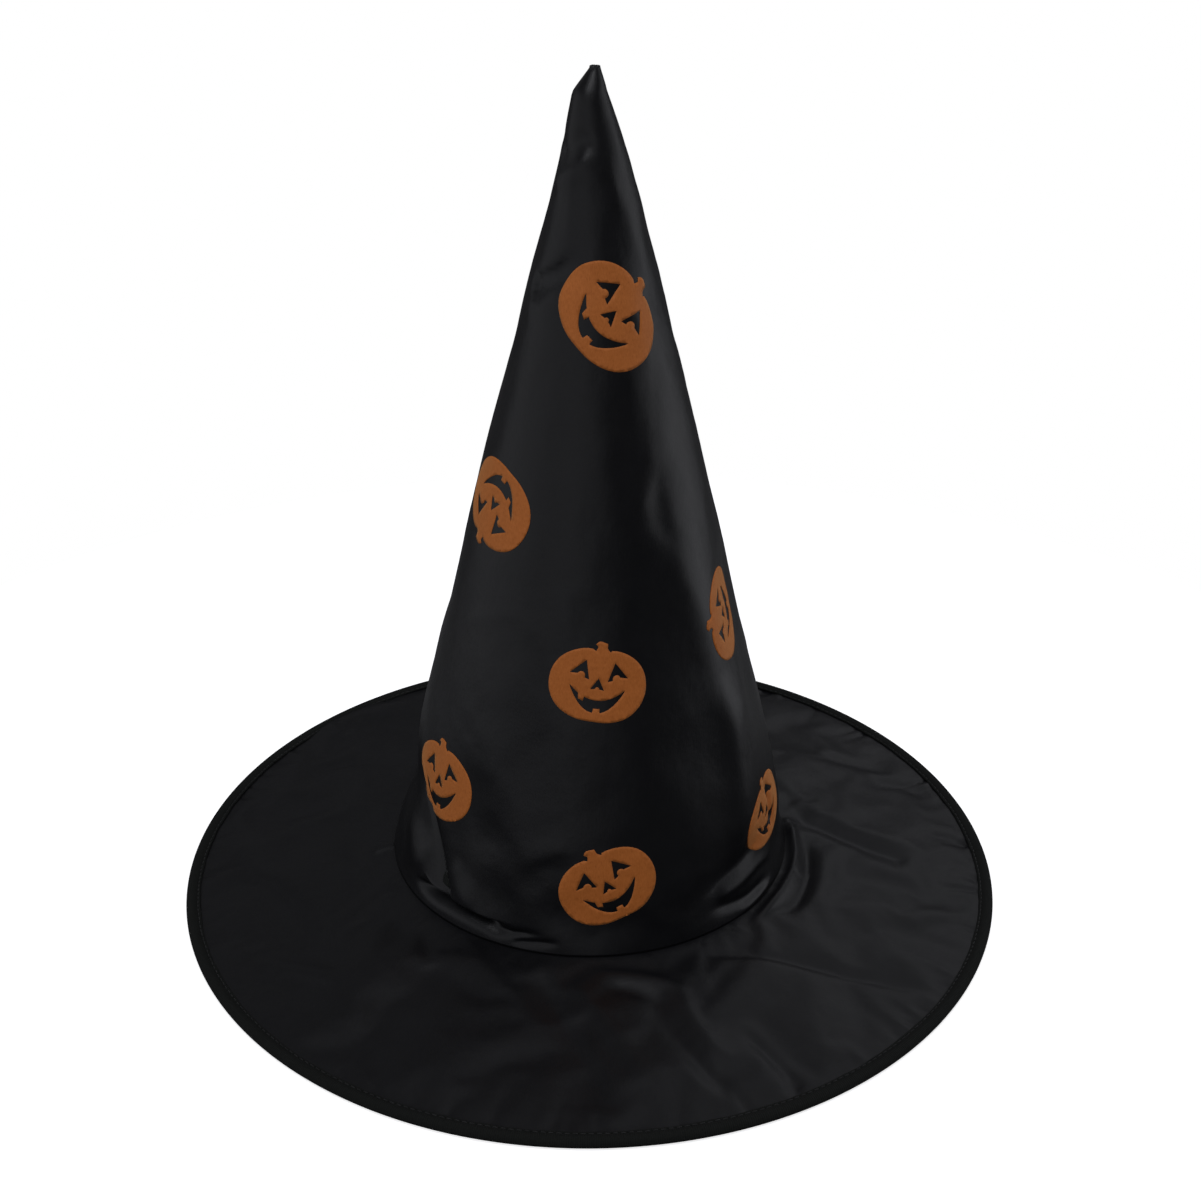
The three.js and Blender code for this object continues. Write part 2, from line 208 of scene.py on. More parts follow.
# Folds of the crown's cloth. The points are (azimuth, height); then height out of the surface, the widths on
# the left and right sides of the line and, where they are not fold's usual ones, the power and the ends.
CROWN_FOLDS = [
    # near the tip
    (((-165, 336), (-125, 341), (-80, 345)), -1.3, 5.0, 4.0, 2.0, (0.1, 0.4)),
    (((-165, 327), (-125, 331.5), (-85, 340)), 1.2, 2.2, 5.0, 1.8, (0.1, 0.4)),
    (((-160, 285), (-132, 292), (-112, 298), (-95, 301.5)), -2.3, 4.0, 8.0, 2.0, (0.1, 0.5)),
    (((-160, 276), (-138, 281), (-116, 289), (-104, 294)), 0.9, 3.0, 6.0, 2.0, (0.1, 0.4)),
    # the soft corner that the cloth turns round at the right, and the kink above it
    (((-57, 205), (-45, 166), (-37, 118), (-37, 74), (-42, 40)), 2.9, 17.0, 11.0, 2.0, (0.22, 0.2)),
    (((-38, 128), (-35, 96), (-37, 60), (-41, 34)), 2.3, 15.0, 8.0, 2.0, (0.25, 0.25)),
    (((-50, 222), (-57, 201), (-50, 178)), -1.0, 5.0, 5.0, 2.0, (0.4, 0.4)),
    (((-16, 176), (-12, 140), (-14, 100)), -1.3, 12.0, 12.0),
    # the flare at the left of the foot
    (((-172, 72), (-161, 63), (-152, 56), (-144, 45.5), (-138, 36), (-131, 26)),
     -1.5, 3.0, 7.0, 1.5, (0.3, 0.1)),
    (((-163, 64), (-152, 56.5), (-144, 46), (-138, 36.5), (-132, 27)), -1.5, 1.3, 1.3, 1.6, (0.25, 0.1)),
    (((-168, 44), (-157, 36), (-146, 29)), 1.6, 7.0, 6.0, 2.0, (0.3, 0.2)),
    (((-136, 41), (-129, 34), (-123, 30)), 0.9, 5.0, 3.5),
    # the tuck below it, its lit shelf and the small pleats beside it
    (((-150, 29.5), (-140, 29), (-130, 29.5), (-120, 28.5), (-108, 25)), 2.2, 7.0, 1.7, 2.0, (0.3, 0.35)),
    (((-150, 23), (-141, 23), (-131, 24), (-122, 23.6), (-110, 21.4)), -5.6, 1.6, 2.6),
    (((-120, 18.7), (-110, 21.8), (-102, 23.4)), -1.6, 1.4, 1.4, 1.5, (0.3, 0.4)),
    (((-112, 17.2), (-105, 19.0), (-97, 20.2)), -1.2, 1.2, 1.2, 1.5, (0.3, 0.4)),
    # soft dents in the front, over the foot
    (((-126, 92), (-128, 70), (-120, 48)), -1.0, 9.0, 9.0),
    (((-112, 52), (-102, 61), (-94, 64)), 0.5, 5.0, 4.0),
    # the pinch at the right and the folds that fan out below it
    (((-24, 68), (-20.6, 56), (-20.6, 47), (-18, 36)), -1.5, 1.8, 2.6, 1.4, (0.3, 0.3)),
    (((-26, 40), (-21, 44), (-16, 47)), -0.9, 2.0, 2.0, 1.6, (0.3, 0.3)),
    (((-57, 31), (-47, 35), (-37, 38.5), (-28, 42)), -1.4, 5.0, 2.6, 1.6, (0.3, 0.3)),
    (((-52, 27.5), (-41, 29.5), (-31, 31), (-22, 28)), 1.2, 3.4, 2.2, 1.7, (0.15, 0.3)),
    (((-56, 24.5), (-45, 21.5), (-36, 20.2), (-27, 22)), -1.4, 2.6, 2.0, 1.6, (0.3, 0.3)),
    (((-46, 16.6), (-36, 16.8), (-24, 18.4)), 0.9, 1.6, 1.6),
]

# The cloth above the tuck at the left hangs down over it: a line of (azimuth, height) and how far it hangs
TUCK_LINE = ((-150, 30.5), (-140, 30), (-130, 30), (-120, 28.8), (-108, 25.5))
TUCK_DROOP = 3.2

# The cone's foot is narrower than the ring that it is sewn to: how deep it is drawn in, around which height
# and over how much, at its left, its right and its front
WAISTS = ((3.9, 47.0, 23.0), (1.6, 28.0, 12.0), (1.0, 30.0, 13.0))
LEFT_SIDE, RIGHT_SIDE, SIDE_SPAN = -183.0, 5.0, 80.0  # azimuths, and how far round each side reaches

crumple = Noise(11)
swell = Noise(23)
CRUMPLE_HEIGHT, CREASE_HEIGHT, CREASE_MEAN = 0.16, 0.30, 0.4  # the small unevenness of both satins


def crown_radius(height):
    rise = np.clip((height - FOOT) / (TIP - FOOT), 0.0, 1.0)
    return HEAD_RADIUS + (TIP_RADIUS - HEAD_RADIUS) * rise + CROWN_BULGE * np.sin(math.pi * rise)


def unrolled(azimuth, height):
    """The crown's cloth laid flat, in millimetres, with the cone's apex at the origin."""
    apex_distance = crown_radius(np.asarray(height, float)) / math.sin(SLOPE)
    turned = np.radians(np.asarray(azimuth, float) - FRONT) * math.sin(SLOPE)
    return apex_distance * np.sin(turned), -apex_distance * np.cos(turned)


def from_front(azimuth):
    """The same azimuth from -270 to 90, so that the back seam is at both ends."""
    return (np.asarray(azimuth, float) + 270.0) % 360.0 - 270.0


def crown_relief(azimuth, height):
    """How far the cloth stands out from the plain cone."""
    x, y = unrolled(azimuth, height)
    relief = np.zeros(x.shape)
    for points, *numbers in CROWN_FOLDS:
        flat = np.column_stack(unrolled(*np.array(points, float).T))
        relief += fold(x, y, flat, *numbers)

    def side(middle):
        near = np.clip(azimuth - middle, -SIDE_SPAN, SIDE_SPAN)
        return np.cos(np.radians(near) * 90.0 / SIDE_SPAN) ** 2

    left, right = side(LEFT_SIDE), side(RIGHT_SIDE)
    front = (0.5 - 0.5 * np.sin(np.radians(azimuth))) * (1.0 - np.maximum(left, right))
    for share, (depth, level, spread) in zip((left, right, front), WAISTS):
        relief -= depth * share * bell(height, level, spread)
    room = smooth((height - FOOT) / 12.0) * smooth((TIP - height) / 30.0)
    relief += room * 0.75 * swell.layered(x * 1.35, y * 0.45, 46.0, 2)
    relief += room * CRUMPLE_HEIGHT * crumple.layered(x, y, 15.0, 3)
    crush = smooth(swell(x + 400.0, y, 60.0) + 0.1)
    creases = crumple.creased(x * 0.8 + y * 0.5, y - 0.3 * x, 17.0)
    relief += room * CREASE_HEIGHT * crush * (creases - CREASE_MEAN)
    # The back seam: a groove, and small puckers that its thread draws into the cloth on both sides
    offset = (np.abs(azimuth - BACK + 180.0) % 360.0) - 180.0
    beside = np.abs(np.radians(offset)) * crown_radius(height)
    relief -= 0.7 * bell(beside, 0.0, 0.55) * smooth((TIP - height) / 12.0)
    drawn = crumple(height + 0.6 * beside, np.sign(offset) * 40.0, 4.2)
    relief += 0.34 * room * drawn * np.exp(-((beside / 7.0) ** 1.5)) * (1 - bell(beside, 0.0, 0.9))
    return relief


def tuck_droop(azimuth, height):
    """How far the cloth hangs below its own height at the tuck."""
    x, y = unrolled(azimuth, height)
    flat = np.column_stack(unrolled(*np.array(TUCK_LINE, float).T))
    return fold(x, y, flat, TUCK_DROOP, 7.0, 2.2, 2.0, (0.3, 0.35))


def crown_point(azimuth, height, out=0.0):
    """Points on the crown, a distance outside its cloth's outer face."""
    azimuth, height = np.broadcast_arrays(np.asarray(azimuth, float), np.asarray(height, float))
    gathered = 1.0 - TIP_DRAWN * np.clip((height - TIP + TIP_GATHER) / TIP_GATHER, 0.0, 1.0) ** 1.7
    relief = crown_relief(from_front(azimuth), height) + settled_outward(azimuth, height)
    radius = (crown_radius(height) + relief) * gathered + out
    points = around(radius, azimuth, height - tuck_droop(from_front(azimuth), height))
    points[..., 0] += np.interp(height, AXIS_HEIGHTS, AXIS_SHIFTS)
    return points


# ---- The brim's surface ----

# Folds of the brim's upper cloth: (x, y) points, then as for the crown
BRIM_FOLDS = [
    # the roll beside the crown's foot at the right, and the pocket beyond it
    (((95.5, 16), (97.2, -6), (95.8, -24), (90.8, -40), (82.5, -56), (70.5, -71)),
     3.6, 1.7, 2.4, 2.0, (0.2, 0.25)),
    (((103, 2), (102.5, -18), (99.6, -36), (94.5, -50), (85.5, -64)), -3.0, 3.0, 3.6, 2.0, (0.3, 0.25)),
    (((110, -8), (110, -26), (106, -44), (98, -60)), 0.9, 5.0, 5.0),
    # the long fold at the right
    (((95, 17), (110, 8), (129, -4), (152, -16)), -1.5, 5.5, 5.0, 2.0, (0.15, 0.12)),
    (((96, 27), (115, 17), (135, 6), (160, -6)), 0.9, 7.0, 5.0),
    (((120, -14), (135, -20), (158, -32)), 0.7, 6.0, 6.0),
    (((47, -90), (74, -89), (91, -92), (112, -96), (133, -100), (152, -104)),
     -0.8, 5.0, 1.6, 1.6, (0.1, 0.3)),
    (((136, 52), (158, 56), (173, 43)), -1.2, 6.0, 4.5),
    (((118, 78), (140, 72), (160, 66)), -1.0, 6.0, 4.0),
    (((184, 6), (172, 10), (160, 8)), -1.1, 4.0, 3.0, 1.6, (0.05, 0.4)),
    (((140, -62), (152, -52), (168, -50)), 0.8, 4.0, 6.0),
    # the front
    (((-4, -101), (12, -103), (30, -106), (44, -114)), 1.1, 3.0, 4.0),
    (((4, -110), (22, -113), (36, -122)), -0.9, 3.4, 3.4),
    (((-24, -100), (-16, -116), (-2, -148), (10, -178)), -1.5, 4.0, 9.0, 2.0, (0.2, 0.25)),
    (((-8, -102), (4, -122), (20, -150), (36, -174)), 1.4, 7.0, 5.0, 2.0, (0.2, 0.3)),
    (((22, -108), (34, -130), (50, -156), (60, -170)), -1.5, 4.0, 5.0, 2.0, (0.25, 0.3)),
    (((36, -108), (46, -132), (60, -154)), 1.3, 4.0, 5.0, 2.0, (0.25, 0.3)),
    (((62, -112), (80, -138), (92, -156)), -0.9, 6.0, 6.0),
    (((62, -128), (78, -150), (84, -162)), -1.1, 3.0, 3.0, 1.8, (0.3, 0.1)),
    # the left
    (((-156, 102), (-127, 128), (-90, 141)), 1.6, 9.0, 11.0),
    (((-150, -80), (-122, -94), (-100, -104)), 1.1, 5.0, 4.0),
    (((-175, -20), (-150, -34), (-128, -62), (-112, -92)), -1.0, 5.0, 9.0, 1.8, (0.2, 0.3)),
    (((-104, -16), (-97, -13), (-91, -12)), 1.2, 2.2, 2.2, 1.6, (0.2, 0.1)),
    (((-176, 30), (-150, 24), (-120, 30)), -1.0, 7.0, 5.0, 2.0, (0.2, 0.3)),
    (((-60, -92), (-84, -118), (-96, -146)), -1.0, 7.0, 7.0, 2.0, (0.2, 0.3)),
    # the back
    (((30, 97), (52, 128), (60, 165)), -1.2, 6.0, 5.0, 1.8, (0.2, 0.3)),
    (((-34, 100), (-44, 135), (-66, 160)), 1.3, 7.0, 6.0, 2.0, (0.2, 0.3)),
    (((-90, 60), (-120, 72), (-150, 66)), -1.2, 6.0, 6.0, 2.0, (0.2, 0.3)),
]

# Puckers beside the binding and beside the crown seam in the upper cloth, and beside the binding in the
# lower: seed, count, and the ranges of width, length and height
RIM_PUCKERS = (5, 110, (1.0, 2.6), (4.0, 16.0), (-1.0, 0.6))
SEAM_PUCKERS = (8, 90, (0.8, 2.2), (2.0, 8.0), (-0.6, 0.6))
UNDER_PUCKERS = (17, 90, (1.4, 3.0), (4.0, 16.0), (-0.4, 0.1))


def puckers(azimuth, inward, edge_radius, seed, count, widths, lengths, heights):
    """Short creases that run away from a sewn edge, at random places round it."""
    chance = np.random.default_rng(seed)
    inward = np.maximum(inward, 0.0)
    relief = np.zeros(np.shape(azimuth))
    for _ in range(count):
        centre = chance.uniform(-180.0, 180.0)
        width, length = chance.uniform(*widths), chance.uniform(*lengths)
        height, lean = chance.uniform(*heights), chance.uniform(-0.35, 0.35)
        across = np.radians((azimuth - centre + 180.0) % 360.0 - 180.0) * edge_radius + lean * inward
        close = np.abs(across) < 3.0 * width
        fade = np.exp(-((inward[close] / length) ** 1.6))
        relief[close] += height * bell(across[close], 0.0, width) * fade
    return relief


def rim_puckers(azimuth, radius, numbers):
    drawn = puckers(azimuth, BINDING_INNER - radius, BINDING_INNER, *numbers)
    return drawn * smooth((BINDING_INNER + 1.5 - radius) / 2.5)


def brim_base(radius):
    """Height of the upper cloth's upper face, before its folds."""
    rise = np.clip((BINDING_INNER - radius) / (BINDING_INNER - HEAD_RADIUS), 0.0, 1.0)
    return RIM_LEVEL + (BRIM_FOOT_LEVEL - RIM_LEVEL) * rise


def brim_relief(azimuth, radius):
    """How far the upper cloth stands above its base."""
    turn = np.radians(azimuth)
    x, y = radius * np.cos(turn), radius * np.sin(turn)
    relief = np.zeros(x.shape)
    for points, *numbers in BRIM_FOLDS:
        relief += fold(x, y, points, *numbers)
    outward = radius - HEAD_RADIUS
    held = smooth((BINDING_INNER + 1.0 - radius) / 16.0) * smooth(outward / 14.0)
    relief += held * 0.8 * swell.layered(x, y, 52.0, 2)
    relief += held * CRUMPLE_HEIGHT * crumple.layered(x, y, 16.0, 3)
    crush = smooth(swell(x - 300.0, y + 90.0, 48.0) + 0.3)
    creases = crumple.creased(x * 0.9 + 0.4 * y, 0.9 * y - 0.4 * x, 20.0)
    relief += held * CREASE_HEIGHT * crush * (creases - CREASE_MEAN)
    relief += rim_puckers(azimuth, radius, RIM_PUCKERS)
    relief += puckers(azimuth, outward, HEAD_RADIUS, *SEAM_PUCKERS) * smooth(outward / 2.0)
    return relief


# ---- Meshes ----

def mesh_piece(name, vertices, faces, uv=None):
    """An object from millimetre vertices and faces, all triangles or all quads; uv is in
    millimetres of cloth, one for each vertex."""
    vertices, faces = np.asarray(vertices, float).reshape(-1, 3), np.asarray(faces, int)
    mesh = bpy.data.meshes.new(name)
    mesh.vertices.add(len(vertices))
    mesh.vertices.foreach_set("co", (vertices * METRE).astype(np.float32).ravel())
    mesh.loops.add(faces.size)
    mesh.loops.foreach_set("vertex_index", faces.ravel().astype(np.int32))
    mesh.polygons.add(len(faces))
    mesh.polygons.foreach_set("loop_start", np.arange(0, faces.size, faces.shape[1], dtype=np.int32))
    mesh.polygons.foreach_set("loop_total", np.full(len(faces), faces.shape[1], np.int32))
    mesh.update(calc_edges=True)
    mesh.validate()
    mesh.polygons.foreach_set("use_smooth", np.full(len(mesh.polygons), True))
    if uv is not None:
        layer = mesh.uv_layers.new(name="cloth")
        corners = np.zeros(len(mesh.loops), np.int32)
        mesh.loops.foreach_get("vertex_index", corners)
        layer.data.foreach_set("uv", np.asarray(uv, np.float32).reshape(-1, 2)[corners].ravel())
    made = bpy.data.objects.new(name, mesh)
    bpy.context.scene.collection.objects.link(made)
    return made


def grid_faces(columns, rows, wraps=True, flip=False, start=0):
    """Quads over a grid of columns by rows of vertices, row by row. With wraps, the last column meets the
    first."""
    index = start + np.arange(columns * rows).reshape(rows, columns)
    right = np.roll(index, -1, axis=1) if wraps else index[:, 1:]
    left = index if wraps else index[:, :-1]
    quads = np.stack([left[:-1], right[:-1], right[1:], left[1:]], axis=-1).reshape(-1, 4)
    return quads[:, ::-1] if flip else quads


def doubled(outer, inner):
    """Vertices and quads of a closed sheet between two matching grids that wrap round."""
    rows, columns = outer.shape[:2]
    size = columns * rows
    faces = [grid_faces(columns, rows), grid_faces(columns, rows, flip=True, start=size)]
    for row, flip in ((0, True), (rows - 1, False)):
        edge = row * columns + np.arange(columns)
        following = np.roll(edge, -1)
        strip = np.stack([edge, following, following + size, edge + size], axis=-1)
        faces.append(strip[:, ::-1] if flip else strip)
    return np.concatenate([outer, inner]), np.concatenate(faces)


def sheet_piece(name, outer, inner, uv):
    return mesh_piece(name, *doubled(outer, inner), np.concatenate([uv, uv]))


def tube(points, radius, sides):
    """Vertices and quads of a round tube along a line, open at both ends."""
    ahead = np.roll(points, -1, axis=0) - np.roll(points, 1, axis=0)
    ahead[0], ahead[-1] = points[1] - points[0], points[-1] - points[-2]
    ahead = unit(ahead)
    across = np.cross(ahead, (0.0, 0.0, 1.0))
    upright = np.linalg.norm(across, axis=1) < 0.05
    across[upright] = np.cross(ahead[upright], (1.0, 0.0, 0.0))
    across = unit(across)
    up = np.cross(across, ahead)
    angles = np.radians(all_round(sides))[None, :, None]
    ring = np.cos(angles) * across[:, None] + np.sin(angles) * up[:, None]
    return points[:, None] + radius * ring, grid_faces(sides, len(points), flip=True)


def stitch_run(name, centre, normal, ahead, length, thickness):
    """A row of sewing stitches, one at each centre, lying on a surface and diving into it at both ends."""
    sides = 6
    steps = np.linspace(-1.0, 1.0, 7)
    rise = thickness * (0.3 - 1.3 * steps**4)
    width = thickness / 2 * (1.0 - 0.45 * steps**6)
    angles = np.radians(all_round(sides))[None, :, None, None]
    ring = np.cos(angles) * np.cross(normal, ahead) + np.sin(angles) * normal
    spine = centre + steps[:, None, None] * length / 2 * ahead + rise[:, None, None] * normal
    vertices = spine[:, None] + width[:, None, None, None] * ring  # steps, sides, stitches, 3
    size = len(steps) * sides
    faces = grid_faces(sides, len(steps), flip=True) + size * np.arange(len(centre))[:, None, None]
    return mesh_piece(name, vertices.transpose(2, 0, 1, 3), faces.reshape(-1, 4))


# ---- Cloth simulation ----

SETTLING_UNIT = 100.0  # millimetres; the simulated cloth is ten times the hat's size, which suits the solver
SETTLING_FRAMES = 14


def settle(start, slack):
    """Cloth simulation: the grid's cloth, held along its first and last rows, buckles because it is cut a
    little too large. Gives how far each point moves, in millimetres."""
    rows, columns = start.shape[:2]
    cloth = mesh_piece("settling_cloth", start / SETTLING_UNIT / METRE, grid_faces(columns, rows))
    mesh = cloth.data
    group = cloth.vertex_groups.new(name="held")
    index = np.arange(rows * columns).reshape(rows, columns)
    group.add([int(i) for i in index[[0, 1, -3, -2, -1]].ravel()], 1.0, "REPLACE")
    modifier = cloth.modifiers.new("cloth", "CLOTH")
    settings = modifier.settings
    settings.quality = 8
    settings.mass = 0.3
    settings.tension_stiffness = settings.compression_stiffness = 20.0
    settings.shear_stiffness = 10.0
    settings.bending_stiffness = 0.8
    settings.bending_damping = 0.5
    settings.tension_damping = settings.compression_damping = settings.shear_damping = 5.0
    settings.vertex_group_mass = group.name
    settings.shrink_min = -slack
    settings.effector_weights.gravity = 0.0
    modifier.collision_settings.use_collision = False
    modifier.point_cache.frame_end = SETTLING_FRAMES
    for frame_number in range(1, SETTLING_FRAMES + 1):
        bpy.context.scene.frame_set(frame_number)
    settled = cloth.evaluated_get(bpy.context.evaluated_depsgraph_get())
    places = np.zeros(rows * columns * 3, np.float32)
    settled.data.vertices.foreach_get("co", places)
    bpy.data.objects.remove(cloth)
    bpy.data.meshes.remove(mesh)
    bpy.context.scene.frame_set(1)
    return places.reshape(start.shape).astype(float) * SETTLING_UNIT - start


def eased(grid):
    """The grid with its sharpest bumps taken off. Columns wrap round."""
    beside = (np.roll(grid, 1, axis=1) + np.roll(grid, -1, axis=1)) / 4 + grid / 2
    result = beside.copy()
    result[1:-1] = (beside[:-2] + beside[2:]) / 4 + beside[1:-1] / 2
    return result


def cubic_at(grid, rows, columns):
    """Smoothly interpolated values of a grid at fractional rows and columns. Columns wrap round."""
    row, column = np.floor(rows).astype(int), np.floor(columns).astype(int)

    def weights(t):
        t = t[..., None]
        return (-0.5 * t + t**2 - 0.5 * t**3, 1 - 2.5 * t**2 + 1.5 * t**3,
                0.5 * t + 2 * t**2 - 1.5 * t**3, -0.5 * t**2 + 0.5 * t**3)

    total = 0.0
    for i, down in enumerate(weights(rows - row)):
        line = np.clip(row + i - 1, 0, len(grid) - 1)
        for j, along in enumerate(weights(columns - column)):
            total = total + down * along * grid[line, (column + j - 1) % grid.shape[1]]
    return total


def settled_at(settled, knots, along, azimuth):
    """How a cloth has settled at places; knots are the heights or radii of its grid's rows."""
    rows = np.interp(along, knots, np.arange(len(knots)))
    return cubic_at(settled, rows, azimuth % 360.0 / 360.0 * settled.shape[1])


# The slack of each cloth is how much too large it is cut for the space that it is sewn into.
CROWN_SLACK, BRIM_SLACK = 0.0025, 0.005
CROWN_SETTLING_COLUMNS = 200
CROWN_SETTLING_HEIGHTS = np.concatenate([
    [FOOT, FOOT + 2.0], np.linspace(FOOT + 5.0, 346.0, 80), [350.0, 354.0, 358.0],
])
BRIM_SETTLING_COLUMNS = 400
BRIM_SETTLING_RADII = np.concatenate([
    np.linspace(HEAD_RADIUS - 0.6, 100.0, 4), np.linspace(102.4, 175.6, 33),
    [178.0, 180.0, 181.6, 183.0, 184.4],
])
SETTLING_SHARES = (1.0, 0.8, 0.5, 0.25)  # of the crown's settling that shows, at each of these heights
SETTLING_SHARE_HEIGHTS = (FOOT, 110.0, 170.0, TIP)


def crown_at_rest():
    """A grid over the crown before it settles, and the outward direction at each of its points."""
    columns = all_round(CROWN_SETTLING_COLUMNS)
    height, azimuth = np.broadcast_arrays(CROWN_SETTLING_HEIGHTS[:, None], columns[None])
    radius = crown_radius(height) + crown_relief(from_front(azimuth), height)
    return around(radius, azimuth, height), around(1.0, azimuth, 0.0)


def settled_outward(azimuth, height):
    """How far the crown's cloth has settled outward at a place."""
    share = np.interp(height, SETTLING_SHARE_HEIGHTS, SETTLING_SHARES)
    return share * settled_at(CROWN_SETTLED, CROWN_SETTLING_HEIGHTS, height, azimuth)[..., 0]


def brim_grid(radii, columns):
    """Azimuths and radii of a grid over the brim, and its points on the upper cloth before it settles."""
    radius, azimuth = np.broadcast_arrays(radii[:, None], all_round(columns)[None])
    return azimuth, radius, around(radius, azimuth, brim_base(radius) + brim_relief(azimuth, radius))


def settled_shift(azimuth, radius):
    """How far the upper cloth has settled at a place on the brim."""
    return settled_at(BRIM_SETTLED, BRIM_SETTLING_RADII, radius, azimuth)


crown_start, crown_outward = crown_at_rest()
crown_shift = (settle(crown_start, CROWN_SLACK) * crown_outward).sum(axis=-1, keepdims=True)
CROWN_SETTLED = eased(eased(crown_shift))
brim_start = brim_grid(BRIM_SETTLING_RADII, BRIM_SETTLING_COLUMNS)[2]
BRIM_SETTLED = eased(settle(brim_start, BRIM_SLACK))


def place(piece, body, slot, material, *nodes):
    piece.data.materials.append(material)
    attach(piece, body)
    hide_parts(*nodes)


# ---- Materials ----

class Shader:
    """A Principled material and its nodes."""

    def __init__(self, name, **values):
        self.material = bpy.data.materials.new(name)
        self.material.use_nodes = True
        self.tree = self.material.node_tree
        self.surface = self.tree.nodes["Principled BSDF"]
        for socket, value in values.items():
            self.surface.inputs[socket.replace("_", " ")].default_value = value

    def node(self, kind, inputs=(), **settings):
        made = self.tree.nodes.new(kind)
        for key, value in settings.items():
            setattr(made, key, value)
        for socket, value in dict(inputs).items():
            if isinstance(value, bpy.types.NodeSocket):
                self.tree.links.new(value, made.inputs[socket])
            else:
                made.inputs[socket].default_value = value
        return made

    def math(self, operation, first, second=0.0):
        return self.node("ShaderNodeMath", {0: first, 1: second}, operation=operation).outputs[0]

    def blend(self, first, second, share):
        """A share of the first number and the rest of the second."""
        rest = self.math("MULTIPLY", second, 1.0 - share)
        return self.math("ADD", self.math("MULTIPLY", first, share), rest)

    def drive(self, socket, value):
        self.tree.links.new(value, self.surface.inputs[socket])

    def cloth(self, across=1.0, along=1.0):
        """Millimetres of flat cloth, stretched by the two factors."""
        uv = self.node("ShaderNodeUVMap", uv_map="cloth").outputs[0]
        stretch = {0: uv, 1: (across, along, 1.0)}
        return self.node("ShaderNodeVectorMath", stretch, operation="MULTIPLY").outputs[0]

    def solid(self, scale=1000.0):
        """Millimetres of the object's own space."""
        where = self.node("ShaderNodeTexCoord").outputs["Object"]
        return self.node("ShaderNodeVectorMath", {0: where, "Scale": scale}, operation="SCALE").outputs[0]

    def noise(self, vector, scale, detail=2.0, roughness=0.5):
        return self.node("ShaderNodeTexNoise", {"Vector": vector, "Scale": scale, "Detail": detail,
                                                "Roughness": roughness}).outputs["Fac"]

    def wave(self, vector, direction, scale, distortion=0.0):
        return self.node("ShaderNodeTexWave", {"Vector": vector, "Scale": scale, "Distortion": distortion,
                                               "Detail": 1.0}, bands_direction=direction).outputs["Fac"]

    def between(self, factor, low, high):
        """A number from low to high as factor goes from 0 to 1."""
        return self.node("ShaderNodeMapRange", {"Value": factor, "To Min": low, "To Max": high}).outputs[0]

    def colours(self, factor, *stops):
        """A colour ramp over factor: (position, colour) stops."""
        ramp = self.node("ShaderNodeValToRGB", {"Fac": factor})
        elements = ramp.color_ramp.elements
        while len(elements) < len(stops):
            elements.new(0.5)
        for element, (position, colour) in zip(elements, stops):
            element.position, element.color = position, (*colour, 1.0)
        return ramp.outputs["Color"]

    def bump(self, height, distance, strength=1.0, under=None):
        inputs = {"Height": height, "Distance": distance * METRE, "Strength": strength}
        if under is not None:
            inputs["Normal"] = under
        return self.node("ShaderNodeBump", inputs).outputs["Normal"]

    def weave(self, cloth, share):
        """The crossing threads of satin; the warp has the share."""
        warp = self.wave(cloth, "X", THREADS_PER_WAVE * 3.0, 0.4)
        weft = self.wave(cloth, "Y", THREADS_PER_WAVE * 2.2, 0.4)
        return self.blend(warp, weft, share)

    def finish(self, normal, tone, stops, roughness, grain=None):
        """The material: colour stops over tone, and a range of roughness over grain or else over tone."""
        self.drive("Normal", normal)
        self.drive("Base Color", self.colours(tone, *stops))
        self.drive("Roughness", self.between(tone if grain is None else grain, *roughness))
        return self.material


THREADS_PER_WAVE = 0.31  # the wave texture's scale for one band in a millimetre, near enough


def satin(name, roughness):
    shader = Shader(name, Specular_IOR_Level=0.30, Anisotropic=0.2)
    cloth = shader.cloth()
    streaks = shader.noise(shader.cloth(3.2, 0.16), 1.0, 3.0, 0.6)
    tone = shader.blend(streaks, shader.noise(cloth, 0.045, 3.0, 0.55), 0.35)
    soft = shader.bump(shader.noise(cloth, 0.11, 4.0, 0.55), 0.20)
    slub = shader.bump(streaks, 0.05, 0.6, soft)
    blacks = ((0.25, (0.0030, 0.0030, 0.0036)), (0.75, (0.0056, 0.0057, 0.0068)))
    return shader.finish(shader.bump(shader.weave(cloth, 0.7), 0.03, 0.5, slub), tone, blacks, roughness)


def ink():
    shader = Shader("orange_ink", Specular_IOR_Level=0.25, Sheen_Weight=0.4, Sheen_Roughness=0.4,
                    Sheen_Tint=(1.0, 0.55, 0.22, 1.0))
    cloth = shader.cloth()
    streaks = shader.noise(shader.cloth(2.6, 0.5), 1.0, 4.0, 0.65)
    tone = shader.blend(streaks, shader.noise(cloth, 0.5, 5.0, 0.7), 0.55)
    slub = shader.bump(streaks, 0.06, 0.6)
    oranges = ((0.28, (0.26, 0.062, 0.010)), (0.42, (0.43, 0.122, 0.021)), (0.70, (0.54, 0.168, 0.034)))
    return shader.finish(shader.bump(shader.weave(cloth, 0.6), 0.06, 0.7, slub), tone, oranges, (0.72, 0.5))


